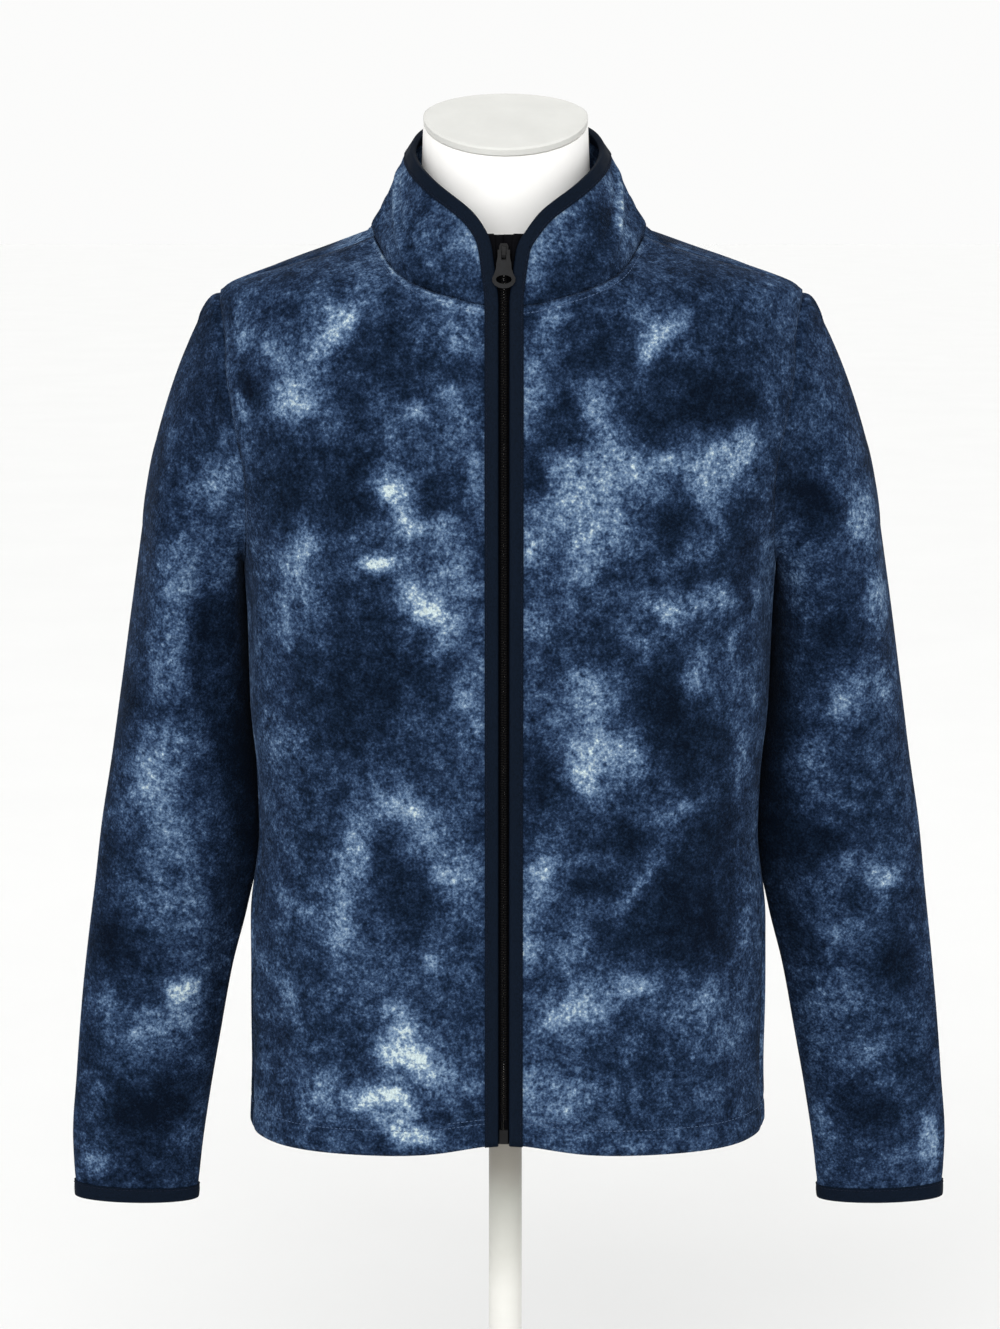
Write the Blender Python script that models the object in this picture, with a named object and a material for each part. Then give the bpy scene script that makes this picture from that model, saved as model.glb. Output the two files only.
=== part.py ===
"""Fleece zip jacket worn by a limbless dress form on a short round stand.

All sizes are in millimetres and turned into metres when a solid is made.
+X is the wearer's left, -Y is the front, +Z is up, and the floor is at zero.
"""
import math
from collections import namedtuple

import bmesh
import bpy
import numpy as np

for old in list(bpy.data.objects):
    bpy.data.objects.remove(old, do_unlink=True)

MM = 0.001

# Cloth and seams
FLEECE = 2.4
HEM_FOLD = 3.8
SEAM_GAP = 0.3
HEM_DEPTH = 20.0

# Places along the zip
ZIP_X = -1.5
ZIP_TO_CLOTH = 5.4
HEM_HEIGHT = 371.0
FRONT_NECK_HEIGHT = 1001.0
UNDERARM_HEIGHT = 800.0
SHOULDER_TIP_HEIGHT = 1007.0
NECK_SIDE_HEIGHT = 1050.0
BACK_NECK_HEIGHT = 1062.0

# The front hem is drawn up a little by the zip
HEM_LIFT = 9.0
HEM_LIFT_REACH = 45.0
HEM_LIFT_TOP = 440.0

# The garment hangs a touch wider on the wearer's left, mostly at the chest
Share = namedtuple("Share", "height share")
SIDE_SHARE = (
    Share(300.0, 0.008),
    Share(450.0, 0.008),
    Share(600.0, 0.012),
    Share(800.0, 0.016),
    Share(990.0, 0.016),
    Share(1025.0, 0.024),
    Share(1140.0, 0.020),
)

# How many cells each panel has
ARMHOLE_CELLS = 14
NECK_CELLS = 6
SHOULDER_CELLS = 5
PANEL_CELLS = NECK_CELLS + SHOULDER_CELLS
SKIRT_ROWS = (371.0, 391.0, 395.0, 440.0, 500.0, 560.0, 620.0, 680.0, 740.0, 800.0)

# Jacket sections: height, half width, depth to the front and back, squareness
Section = namedtuple("Section", "height half_width front back squareness")
BODY = (
    Section(371.0, 199.5, 121.0, 109.0, 3.4),
    Section(425.0, 197.0, 117.0, 104.0, 3.15),
    Section(480.0, 198.0, 112.0, 98.0, 3.0),
    Section(530.0, 198.5, 109.0, 93.0, 2.9),
    Section(600.0, 191.5, 107.0, 87.0, 2.8),
    Section(640.0, 192.5, 108.0, 89.0, 2.8),
    Section(700.0, 197.5, 110.0, 96.0, 2.8),
    Section(760.0, 199.0, 112.0, 104.0, 2.8),
    Section(800.0, 201.0, 113.0, 110.0, 2.75),
    Section(829.0, 207.0, 113.0, 112.0, 2.7),
    Section(868.0, 216.0, 112.0, 113.0, 2.6),
    Section(913.0, 225.0, 109.0, 112.0, 2.5),
    Section(946.0, 227.0, 104.0, 109.0, 2.4),
    Section(978.0, 223.0, 98.0, 104.0, 2.2),
    Section(1007.0, 218.5, 90.0, 97.0, 2.0),
    Section(1013.5, 211.0, 84.0, 95.0, 2.0),
    Section(1019.0, 197.0, 79.0, 93.0, 2.0),
    Section(1025.0, 177.5, 71.0, 91.0, 2.0),
    Section(1030.5, 157.5, 61.0, 89.0, 2.0),
    Section(1037.0, 136.0, 48.0, 87.0, 2.0),
    Section(1043.5, 116.5, 36.0, 85.0, 2.0),
    Section(1050.0, 100.5, 26.0, 82.0, 2.0),
    Section(1056.0, 94.0, 22.0, 79.0, 2.0),
    Section(1064.0, 87.0, 20.0, 76.0, 2.0),
)

# The forward shoulder seam, and how far the back panel rises behind it
Seam = namedtuple("Seam", "height depth rise sideways_share")
SHOULDER = (
    Seam(371.0, 0.0, 0.0, 1.0),
    Seam(880.0, 0.0, 0.0, 1.0),
    Seam(960.0, 0.0, 0.0, 0.55),
    Seam(1007.0, -8.0, 0.0, 0.3),
    Seam(1015.0, -10.0, 7.5, 0.3),
    Seam(1022.0, -12.0, 12.0, 0.3),
    Seam(1037.0, -15.0, 14.5, 0.3),
    Seam(1050.0, -18.0, 13.0, 0.3),
    Seam(1064.0, -18.0, 10.0, 0.3),
)
RISE_LENGTH = 28.0

# The side seam leans forward to the hem
SideSeam = namedtuple("SideSeam", "height depth")
SIDE_SEAM = (
    SideSeam(371.0, -50.0),
    SideSeam(560.0, -38.0),
    SideSeam(700.0, -16.0),
    SideSeam(800.0, 0.0),
)

# Armhole seen from the side, from the underarm round the front
Notch = namedtuple("Notch", "name depth height")
ARMHOLE = (
    Notch("underarm", 0.0, 800.0),
    Notch("front low", -47.0, 823.0),
    Notch("front middle", -63.0, 884.0),
    Notch("front high", -44.0, 960.0),
    Notch("shoulder tip", -8.0, 1007.0),
    Notch("back high", 46.0, 968.0),
    Notch("back middle", 72.0, 893.0),
    Notch("back low", 52.0, 826.0),
)

# Neckline from the zip to the shoulder seam, and on to the middle of the back
NeckPoint = namedtuple("NeckPoint", "half_width height")
FRONT_NECK = (
    NeckPoint(4.0, 1001.0),
    NeckPoint(22.0, 1003.0),
    NeckPoint(39.0, 1007.5),
    NeckPoint(56.0, 1012.5),
    NeckPoint(72.0, 1019.0),
    NeckPoint(86.0, 1029.0),
    NeckPoint(100.5, 1050.0),
)
BACK_NECK = (
    NeckPoint(100.5, 1050.0),
    NeckPoint(93.5, 1056.0),
    NeckPoint(78.0, 1059.0),
    NeckPoint(60.0, 1060.5),
    NeckPoint(41.0, 1061.5),
    NeckPoint(21.0, 1062.0),
    NeckPoint(0.0, 1062.0),
)

# Sleeve rings: the inner and outer edge seen from the front, middle and depth
Ring = namedtuple("Ring", "height inner outer middle half_depth lean")
SLEEVE = (
    Ring(795.0, 208.5, 281.5, 17.0, 60.0, 35.0),
    Ring(740.0, 205.0, 292.0, 17.0, 56.0, 22.0),
    Ring(690.0, 203.0, 300.5, 16.0, 50.0, 14.0),
    Ring(640.0, 200.5, 308.5, 15.0, 44.0, 10.0),
    Ring(590.0, 199.5, 317.0, 13.0, 38.0, 8.0),
    Ring(540.0, 206.0, 323.0, 11.0, 32.0, 8.0),
    Ring(490.0, 216.0, 329.5, 9.0, 28.0, 7.0),
    Ring(440.0, 224.5, 335.0, 7.0, 25.0, 7.0),
    Ring(390.0, 233.5, 339.5, 5.0, 22.0, 6.0),
    Ring(340.0, 241.0, 343.5, 4.0, 19.0, 4.0),
    Ring(297.5, 245.5, 342.0, 4.0, 17.0, 1.0),
)
CROWN_STEPS = (0.0, 0.06, 0.13, 0.22, 0.34, 0.5, 0.72, 1.0)
SLEEVE_ROWS = (745.0, 695.0, 645.0, 595.0, 540.0, 480.0, 420.0, 360.0, 307.0, 297.5)
RING_CELLS = 2 * ARMHOLE_CELLS
CROWN_SWELL = 7.0

# How far the sleeve runs straight out of the armhole, and into its first ring
Pull = namedtuple("Pull", "angle out down")
SLEEVE_PULL = (
    Pull(0.0, 34.0, 60.0),
    Pull(90.0, 55.0, 90.0),
    Pull(180.0, 140.0, 150.0),
    Pull(270.0, 55.0, 90.0),
    Pull(360.0, 34.0, 60.0),
)

# Sleeve folds: 0 degrees faces the body, 90 the front, 180 outward, 270 the back
Fold = namedtuple("Fold", "side top top_angle low low_angle spread rise")
LEFT, RIGHT = 1, -1
SLEEVE_FOLDS = (
    Fold(RIGHT, 930.0, 134.0, 700.0, 110.0, 15.0, 3.2),
    Fold(RIGHT, 900.0, 62.0, 660.0, 24.0, 14.0, 3.6),
    Fold(RIGHT, 905.0, 96.0, 600.0, 50.0, 15.0, -5.0),
    Fold(RIGHT, 690.0, 36.0, 400.0, 26.0, 17.0, -3.5),
    Fold(RIGHT, 880.0, 262.0, 680.0, 285.0, 15.0, 3.4),
    Fold(RIGHT, 860.0, 232.0, 600.0, 250.0, 15.0, -4.4),
    Fold(LEFT, 985.0, 138.0, 880.0, 78.0, 12.0, 3.0),
    Fold(LEFT, 950.0, 150.0, 740.0, 56.0, 13.0, 3.6),
    Fold(LEFT, 900.0, 148.0, 700.0, 124.0, 13.0, 2.6),
    Fold(LEFT, 840.0, 96.0, 600.0, 68.0, 15.0, -4.6),
    Fold(LEFT, 690.0, 38.0, 400.0, 28.0, 17.0, -3.0),
    Fold(LEFT, 890.0, 268.0, 690.0, 288.0, 15.0, 3.2),
    Fold(LEFT, 850.0, 236.0, 610.0, 252.0, 15.0, -4.2),
)

# Body folds: 0 degrees is the zip, 90 the side, 180 the middle of the back
BODY_FOLDS = (
    Fold(RIGHT, 560.0, 66.0, 330.0, 70.0, 6.0, 2.4),
    Fold(RIGHT, 600.0, 50.0, 320.0, 54.0, 7.0, -2.0),
    Fold(RIGHT, 640.0, 122.0, 320.0, 118.0, 8.0, 3.0),
    Fold(RIGHT, 700.0, 145.0, 340.0, 140.0, 8.0, -3.0),
    Fold(RIGHT, 860.0, 66.0, 690.0, 74.0, 7.0, -2.4),
    Fold(LEFT, 580.0, 70.0, 330.0, 74.0, 6.0, 2.2),
    Fold(LEFT, 620.0, 52.0, 320.0, 57.0, 7.0, -2.2),
    Fold(LEFT, 650.0, 125.0, 320.0, 120.0, 8.0, 3.0),
    Fold(LEFT, 690.0, 148.0, 340.0, 143.0, 8.0, -2.6),
    Fold(LEFT, 850.0, 64.0, 680.0, 72.0, 7.0, -2.2),
)

# Top edge of the collar, from the zip to the middle of the back
CollarEdge = namedtuple("CollarEdge", "angle height")
COLLAR_TOP = (
    CollarEdge(3.0, 1046.5),
    CollarEdge(10.0, 1053.0),
    CollarEdge(20.0, 1062.5),
    CollarEdge(40.0, 1079.0),
    CollarEdge(60.0, 1094.0),
    CollarEdge(90.0, 1112.0),
    CollarEdge(125.0, 1128.0),
    CollarEdge(155.0, 1135.0),
    CollarEdge(180.0, 1137.0),
)
COLLAR_HALF_WIDTH = 71.0
COLLAR_FRONT = 84.0
COLLAR_BACK = 66.0
COLLAR_BULGE = 5.0
COLLAR_ROWS = (0.0, 0.22, 0.44, 0.66, None, 1.0)
COLLAR_FOLDS = ((RIGHT, 62.0, 9.0, 2.4), (LEFT, 60.0, 9.0, 2.6))

# Binding folded over the raw edges
BINDING_WIDTH = 8.6
BINDING_CLOTH = 1.0
BINDING_GAP = 0.42
CUFF_BINDING_WIDTH = 9.5

# Zip tapes, each with the bead of its coil along the inner edge
TAPE_CLOTH = 0.9
TAPE_HALF_WIDTH = 12.5
TAPE_GAP = 0.35
TAPE_SPREAD = 4.1
TAPE_CURL = 1.6
TAPE_CURL_LENGTH = 14.0
TAPE_ABOVE_SEAM = (0.5, 7.0, 14.0)
COIL_HALF_WIDTH = 2.6
COIL_RISE = 2.2
COIL_RISE_AT_HEM = 0.6
COIL_RISE_OPENED = 0.12
COIL_ROUNDING = 0.4

# Slider: half width and height of its plate, and its arch seen from the side
SLIDER_TOP = 1045.5
SLIDER_LENGTH = 13.5
SLIDER_FRONT = -0.4
SLIDER_EDGE = 0.6
SLIDER_PLATE = ((2.5, 0.0), (3.7, -2.0), (3.7, -10.0), (2.3, -13.5))
ARCH_HALF_WIDTH = 1.4
HINGE_BELOW_TOP = 6.2
ARCH = ((-0.9, -1.2), (3.2, -1.5), (4.6, -3.2), (4.9, -6.2),
        (4.6, -9.2), (3.2, -10.9), (-0.9, -11.2), (-0.9, -6.0))
ARCH_WINDOW = ((0.9, -3.2), (3.0, -3.3), (3.5, -4.2), (3.75, -6.2),
               (3.5, -8.2), (3.0, -9.1), (0.9, -9.2), (0.9, -6.2))

# Pull tab: half width and height of its neck from the hinge, then its ring
TAB_NECK = ((4.4, 1.0), (4.4, -4.0), (5.4, -9.0), (5.6, -12.5))
TAB_RING_HEIGHT = -20.3
TAB_RING = (8.5, 6.5)
TAB_HOLE = (5.8, 3.2)
TAB_EYE_HALF_WIDTH = 1.85
TAB_EYE_HEIGHTS = (3.0, -6.6)
TAB_BACK = -0.25
TAB_FRONT = 1.15
TAB_CUT_REACH = 4.0
HINGE_OUT = 2.5
HINGE_PIN_RADIUS = 0.85
HINGE_PIN_HALF_LENGTH = 2.65

# Blocks at the lower end of the zip
BLOCK_THICKNESS = 2.4
BLOCK_EDGE = 0.5
BOX_ABOVE_HEM = 1.0
BOX_LENGTH = 11.0
BOX_SPAN = (-3.6, 3.6)
PIN_LENGTH = 6.0
PIN_SPAN = (-1.9, -0.6)
BOX_TO_PIN = 1.4

# Dress form sections and its neck
FORM = (
    Section(428.0, 140.0, 84.0, 76.0, 2.2),
    Section(436.0, 152.0, 94.0, 84.0, 2.3),
    Section(500.0, 160.0, 97.0, 84.0, 2.3),
    Section(560.0, 154.0, 94.0, 76.0, 2.3),
    Section(610.0, 149.0, 91.0, 72.0, 2.3),
    Section(680.0, 156.0, 94.0, 79.0, 2.3),
    Section(760.0, 168.0, 99.0, 92.0, 2.3),
    Section(830.0, 180.0, 102.0, 100.0, 2.3),
    Section(880.0, 190.0, 102.0, 103.0, 2.3),
    Section(930.0, 198.0, 98.0, 100.0, 2.2),
    Section(965.0, 203.0, 92.0, 96.0, 2.1),
    Section(990.0, 206.0, 86.0, 91.0, 2.0),
    Section(1001.0, 206.0, 82.0, 88.0, 2.0),
    Section(1008.0, 201.0, 76.5, 87.0, 1.95),
    Section(1013.5, 187.5, 70.5, 85.0, 1.85),
    Section(1018.5, 168.0, 65.0, 83.0, 1.75),
    Section(1023.0, 149.0, 60.5, 80.0, 1.65),
    Section(1028.0, 131.0, 57.0, 77.0, 1.57),
    Section(1033.5, 114.0, 54.5, 74.0, 1.52),
    Section(1039.0, 101.0, 53.0, 71.0, 1.52),
    Section(1045.0, 91.0, 52.5, 68.0, 1.6),
    Section(1053.0, 81.5, 53.0, 64.0, 1.72),
    Section(1063.0, 73.0, 55.0, 58.0, 1.85),
    Section(1077.0, 66.0, 58.0, 52.0, 1.95),
    Section(1096.0, 62.5, 62.5, 47.0, 2.0),
    Section(1127.0, 61.0, 68.0, 42.0, 2.0),
)
FORM_CELLS = 36
FORM_EASE = 3.4
FORM_RISE_SHARE = 0.81
NECK_TILT = math.radians(22.0)
NECK_TILT_START = 1050.0
CAP_HALF_THICKNESS = 3.0

# Stand
POST_RADIUS = 13.0
BASE_RADIUS = 160.0
BASE_HEIGHT = 12.0
BASE_ROUND = 4.0
ROUND_CELLS = 40


# Smooth curves through the rows of a table

def smooth_through(places, values):
    """Give a curve through the values that never swings past them."""
    places = np.asarray(places, float)
    values = np.asarray(values, float)
    steps = np.diff(places)
    rises = np.diff(values) / steps
    slopes = np.zeros_like(values)
    slopes[0], slopes[-1] = rises[0], rises[-1]
    same_way = rises[:-1] * rises[1:] > 0.0
    total = np.where(same_way, rises[:-1] + rises[1:], 1.0)
    slopes[1:-1] = np.where(same_way, 2.0 * rises[:-1] * rises[1:] / total, 0.0)

    def curve(place):
        place = np.clip(place, places[0], places[-1])
        cell = np.clip(np.searchsorted(places, place, side="right") - 1, 0, len(steps) - 1)
        share = (place - places[cell]) / steps[cell]
        ease = share * share * (3.0 - 2.0 * share)
        lead = share * (1.0 - share) ** 2 * steps[cell]
        tail = share * share * (share - 1.0) * steps[cell]
        return (values[cell] * (1.0 - ease) + values[cell + 1] * ease
                + slopes[cell] * lead + slopes[cell + 1] * tail)

    return curve


def curves_of(rows):
    """Give one smooth curve for each column of a table after its first."""
    names = rows[0]._fields
    places = [row[0] for row in rows]
    return {name: smooth_through(places, [getattr(row, name) for row in rows])
            for name in names[1:]}


def smooth_step(share):
    share = np.clip(share, 0.0, 1.0)
    return share * share * (3.0 - 2.0 * share)


BODY_CURVES = curves_of(BODY)
SHOULDER_CURVES = curves_of(SHOULDER)
SIDE_SEAM_CURVE = curves_of(SIDE_SEAM)["depth"]
SIDE_CURVE = curves_of(SIDE_SHARE)["share"]
SLEEVE_CURVES = curves_of(tuple(reversed(SLEEVE)))
PULL_CURVES = curves_of(SLEEVE_PULL)
FORM_CURVES = curves_of(FORM)
COLLAR_CURVE = curves_of(COLLAR_TOP)["height"]


# The jacket's body surface

def rise_behind_seam(depth, height):
    """How far the cloth climbs behind the forward shoulder seam."""
    middle = SHOULDER_CURVES["depth"](height)
    return SHOULDER_CURVES["rise"](height) * smooth_step((depth - middle) / RISE_LENGTH)


def half_section(height, samples=241):
    """Points of one half of a section, from the zip to the middle of the back."""
    turn = np.linspace(0.0, math.pi, samples)
    power = 2.0 / BODY_CURVES["squareness"](height)
    middle = SHOULDER_CURVES["depth"](height)
    front = BODY_CURVES["front"](height) + middle
    back = BODY_CURVES["back"](height) - middle
    across = BODY_CURVES["half_width"](height) * np.sin(turn) ** power
    along = np.abs(np.cos(turn)) ** power
    depth = middle + np.where(turn < math.pi / 2, -front * along, back * along)
    return across, depth


def section_reach(height, across, depth):
    """Distance along a section, which counts depth less near the shoulder."""
    share = SHOULDER_CURVES["sideways_share"](height)
    steps = np.hypot(np.diff(across), share * np.diff(depth))
    return np.concatenate(([0.0], np.cumsum(steps)))


def hem_lift(reach, height):
    """How far the zip draws the front hem up at a reach from it."""
    fade = smooth_step((HEM_LIFT_TOP - height) / (HEM_LIFT_TOP - HEM_HEIGHT))
    return HEM_LIFT * math.exp(-(reach / HEM_LIFT_REACH) ** 2) * fade


def place_on_body(reach, height, from_back=False):
    """Point of the body surface at a reach from the zip or the back's middle."""
    if not from_back:
        height = height + hem_lift(reach, height)
    across, depth = half_section(height)
    if from_back:
        across, depth = across[::-1], depth[::-1]
    along = section_reach(height, across, depth)
    x = np.interp(reach, along, across)
    y = np.interp(reach, along, depth)
    return np.array([x, y, height + rise_behind_seam(y, height)])


def reach_at_depth(depth, height, from_back=False):
    across, depths = half_section(height)
    if from_back:
        along = section_reach(height, across[::-1], depths[::-1])
        return float(np.interp(-depth, -depths[::-1], along))
    return float(np.interp(depth, depths, section_reach(height, across, depths)))


def reach_at_width(width, height, from_back=False):
    """Reach of a point on the near half of a section, found by its width."""
    across, depths = half_section(height)
    if from_back:
        across, depths = across[::-1], depths[::-1]
    along = section_reach(height, across, depths)
    half = len(across) // 2 + 1
    return float(np.interp(width, across[:half], along[:half]))


def body_level(point):
    """Nought on the body surface, more than nought outside it."""
    x, y, z = point
    height = z - rise_behind_seam(y, z)
    middle = SHOULDER_CURVES["depth"](height)
    reach = (BODY_CURVES["front"](height) + middle if y < middle
             else BODY_CURVES["back"](height) - middle)
    power = BODY_CURVES["squareness"](height)
    across = (abs(x) / BODY_CURVES["half_width"](height)) ** power
    return float(across + (abs(y - middle) / reach) ** power)


def body_normal(point, step=1.5):
    slopes = np.zeros(3)
    for axis in range(3):
        shift = np.zeros(3)
        shift[axis] = step
        slopes[axis] = body_level(point + shift) - body_level(point - shift)
    return slopes / np.linalg.norm(slopes)


def body_angle(point):
    """Angle round the body: 0 at the zip, 90 at the side, 180 at the back."""
    x, y, z = point
    height = z - rise_behind_seam(y, z)
    middle = SHOULDER_CURVES["depth"](height)
    reach = (BODY_CURVES["front"](height) + middle if y < middle
             else BODY_CURVES["back"](height) - middle)
    return math.degrees(math.atan2(abs(x) / BODY_CURVES["half_width"](height),
                                   -(y - middle) / reach))


def fold_rise(folds, side, height, angle):
    """Sum of the soft folds of one side at a height and an angle."""
    total = 0.0
    for fold in folds:
        if fold.side != side or not fold.low < height < fold.top:
            continue
        share = (fold.top - height) / (fold.top - fold.low)
        middle = fold.top_angle + (fold.low_angle - fold.top_angle) * share
        away = ((angle - middle + 180.0) % 360.0 - 180.0) / fold.spread
        total += fold.rise * math.exp(-away * away) * math.sin(math.pi * share) ** 2
    return total


def body_fold(point, side):
    """Body folds, which run on over the hem and die out at the seams above."""
    return fold_rise(BODY_FOLDS, side, point[2], body_angle(point))


def widen(point, side):
    """Put a point on its own side, a touch wider on the wearer's left."""
    share = float(SIDE_CURVE(point[2]))
    return point * np.array([side * (1.0 + side * share), 1.0, 1.0])


# Panels

def even_samples(points, cells):
    """Even steps along a smooth curve through a few points."""
    points = np.asarray(points, float)
    lengths = np.concatenate(([0.0], np.cumsum(np.linalg.norm(np.diff(points, axis=0), axis=1))))
    curves = [smooth_through(lengths, column) for column in points.T]
    fine = np.linspace(0.0, lengths[-1], 40 * cells + 1)
    trail = np.stack([curve(fine) for curve in curves], axis=1)
    run = np.concatenate(([0.0], np.cumsum(np.linalg.norm(np.diff(trail, axis=0), axis=1))))
    wanted = np.linspace(0.0, run[-1], cells + 1)
    return np.stack([np.interp(wanted, run, column) for column in trail.T], axis=1)


def rounded_loop(points, per_gap=12):
    """Points of a closed curve that rounds through each listed point."""
    points = np.asarray(points, float)
    count = len(points)
    trail = []
    for index in range(count):
        before, start, end, after = (points[(index + k) % count] for k in (-1, 0, 1, 2))
        for step in range(per_gap):
            t = step / per_gap
            trail.append(0.5 * (2.0 * start + (end - before) * t
                                + (2.0 * before - 5.0 * start + 4.0 * end - after) * t ** 2
                                + (3.0 * start - before - 3.0 * end + after) * t ** 3))
    return np.array(trail)


def armhole_side_view():
    """Depth and height of the armhole's points, from the underarm forward."""
    per_gap = 12
    loop = rounded_loop([(notch.depth, notch.height) for notch in ARMHOLE], per_gap)
    tip = [notch.name for notch in ARMHOLE].index("shoulder tip") * per_gap
    closed = np.vstack((loop, loop[:1]))
    front = resample(closed[:tip + 1], ARMHOLE_CELLS)
    back = resample(closed[tip:], ARMHOLE_CELLS)
    return np.vstack((front, back[1:-1]))


def resample(trail, cells):
    run = np.concatenate(([0.0], np.cumsum(np.linalg.norm(np.diff(trail, axis=0), axis=1))))
    wanted = np.linspace(0.0, run[-1], cells + 1)
    return np.stack([np.interp(wanted, run, column) for column in trail.T], axis=1)


ARMHOLE_POINTS = armhole_side_view()


def armhole_half(front):
    """Armhole points from the underarm to the tip, along the front or back."""
    if front:
        return ARMHOLE_POINTS[:ARMHOLE_CELLS + 1]
    back = np.vstack((ARMHOLE_POINTS[ARMHOLE_CELLS:], ARMHOLE_POINTS[:1]))
    return back[::-1]


def shoulder_heights():
    """Heights of the shoulder seam's points, from the neck to the tip."""
    heights = np.linspace(NECK_SIDE_HEIGHT, SHOULDER_TIP_HEIGHT, 40)
    line = np.stack([BODY_CURVES["half_width"](heights), heights], axis=1)
    return resample(line, SHOULDER_CELLS)[:, 1]


def panel_top(front, side):
    """Reach and height of a panel's top edge: its neckline, then its shoulder."""
    rows = FRONT_NECK if front else tuple(reversed(BACK_NECK))
    if front:
        start = ZIP_X * side + ZIP_TO_CLOTH
        rows = (NeckPoint(start, rows[0].height),) + rows[1:]
    neck = even_samples(rows, NECK_CELLS)
    top = [(reach_at_width(width, height, not front), height) for width, height in neck]
    for height in shoulder_heights()[1:]:
        depth = SHOULDER_CURVES["depth"](height)
        top.append((reach_at_depth(depth, height, not front), height))
    return np.array(top)


def panel_sides(front, side):
    """Reach and height of a panel's middle edge and of its outer edge."""
    inner_start = ZIP_X * side + ZIP_TO_CLOTH if front else 0.0
    middle_top = FRONT_NECK_HEIGHT if front else BACK_NECK_HEIGHT
    inner, outer = [], []
    for height in SKIRT_ROWS:
        inner.append((reach_at_width(inner_start, height, not front) if front else 0.0, height))
        outer.append((reach_at_depth(SIDE_SEAM_CURVE(height), height, not front), height))
    rows = armhole_half(front)[1:]
    for index, (depth, height) in enumerate(rows, start=1):
        share = index / len(rows)
        level = UNDERARM_HEIGHT + (middle_top - UNDERARM_HEIGHT) * share
        reach = reach_at_width(inner_start, level, not front) if front else 0.0
        inner.append((reach, level))
        outer.append((reach_at_depth(depth, height, not front), height))
    return np.array(inner), np.array(outer)


def panel_grid(front, side):
    """Points and normals of a half panel, row by row from the hem up."""
    top = panel_top(front, side)
    inner, outer = panel_sides(front, side)
    across = np.linspace(0.0, 1.0, PANEL_CELLS + 1)
    chord = inner[-1] + (outer[-1] - inner[-1]) * across[:, None]
    lift = top - chord
    rows = len(inner)
    skirt = len(SKIRT_ROWS) - 1
    points = np.zeros((rows, PANEL_CELLS + 1, 3))
    normals = np.zeros_like(points)
    for row in range(rows):
        share = max(0.0, (row - skirt) / ARMHOLE_CELLS) ** 2.2
        for column, u in enumerate(across):
            reach, height = inner[row] * (1.0 - u) + outer[row] * u + share * lift[column]
            place = place_on_body(reach, height, not front)
            normal = body_normal(place)
            place = place + normal * body_fold(place, side)
            points[row, column] = widen(place, side)
            normals[row, column] = normal * np.array([side, 1.0, 1.0])
    return points, normals


def cloth_thickness(height):
    """Two layers in the turned-up hem, one layer elsewhere."""
    return HEM_FOLD if height < HEM_HEIGHT + HEM_DEPTH + 1.0 else FLEECE


def pull_back(grid, edge, distance=SEAM_GAP / 2):
    """Move one edge of a grid back into its panel to leave the seam gap."""
    first, second = {"top": ((-1,), (-2,)), "outer": ((slice(None), -1), (slice(None), -2)),
                     "inner": ((slice(None), 0), (slice(None), 1))}[edge]
    away = grid[second] - grid[first]
    grid[first] += distance * away / np.linalg.norm(away, axis=-1, keepdims=True)


def panel_wall(front, side):
    """Outer and inner surface of a half panel, with its seam gaps."""
    points, normals = panel_grid(front, side)
    heights = list(SKIRT_ROWS) + [UNDERARM_HEIGHT] * ARMHOLE_CELLS
    thickness = np.array([cloth_thickness(height) for height in heights])
    inner = points - normals * thickness[:, None, None]
    for grid in (points, inner):
        pull_back(grid, "top")
        pull_back(grid, "outer")
    return points, inner


# Sleeves

def armhole_ring():
    """Points, normals and outgoing directions of the armhole on the body."""
    points = []
    for depth, height in ARMHOLE_POINTS:
        points.append(place_on_body(reach_at_depth(depth, height), height))
    points = np.array(points)
    normals = np.array([body_normal(point) for point in points])
    along = np.roll(points, -1, axis=0) - np.roll(points, 1, axis=0)
    out = np.cross(along, normals)
    out /= np.linalg.norm(out, axis=1, keepdims=True)
    middle = points.mean(axis=0)
    out *= np.sign(np.sum(out * (middle - points), axis=1, keepdims=True))
    return points, normals, out


def sleeve_point(height, angle):
    """Point of a sleeve ring: angle 0 faces the body and 90 the front."""
    sizes = {name: curve(height) for name, curve in SLEEVE_CURVES.items()}
    half_width = (sizes["outer"] - sizes["inner"]) / 2
    centre = (sizes["outer"] + sizes["inner"]) / 2
    turn = math.radians(angle)
    return np.array([centre - half_width * math.cos(turn),
                     sizes["middle"] - sizes["half_depth"] * math.sin(turn),
                     height - sizes["lean"] * math.cos(turn)])


def sleeve_base():
    """Rows of a sleeve without folds: the crown, then ring by ring down."""
    start, start_normals, out = armhole_ring()
    start = start + out * SEAM_GAP / 2
    angles = np.arange(RING_CELLS) * 360.0 / RING_CELLS
    top = SLEEVE[0].height
    rows = []
    for share in CROWN_STEPS:
        row = []
        for index, angle in enumerate(angles):
            end = sleeve_point(top, angle)
            down = sleeve_point(top - 4.0, angle) - end
            down *= PULL_CURVES["down"](angle) / np.linalg.norm(down)
            lead = out[index] * PULL_CURVES["out"](angle)
            blend = share * share * (3.0 - 2.0 * share)
            row.append(start[index] * (1.0 - blend) + end * blend
                       + lead * share * (1.0 - share) ** 2
                       + down * share * share * (share - 1.0))
        rows.append(row)
    for height in SLEEVE_ROWS:
        rows.append([sleeve_point(height, angle) for angle in angles])
    return np.array(rows), start_normals, angles


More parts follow.
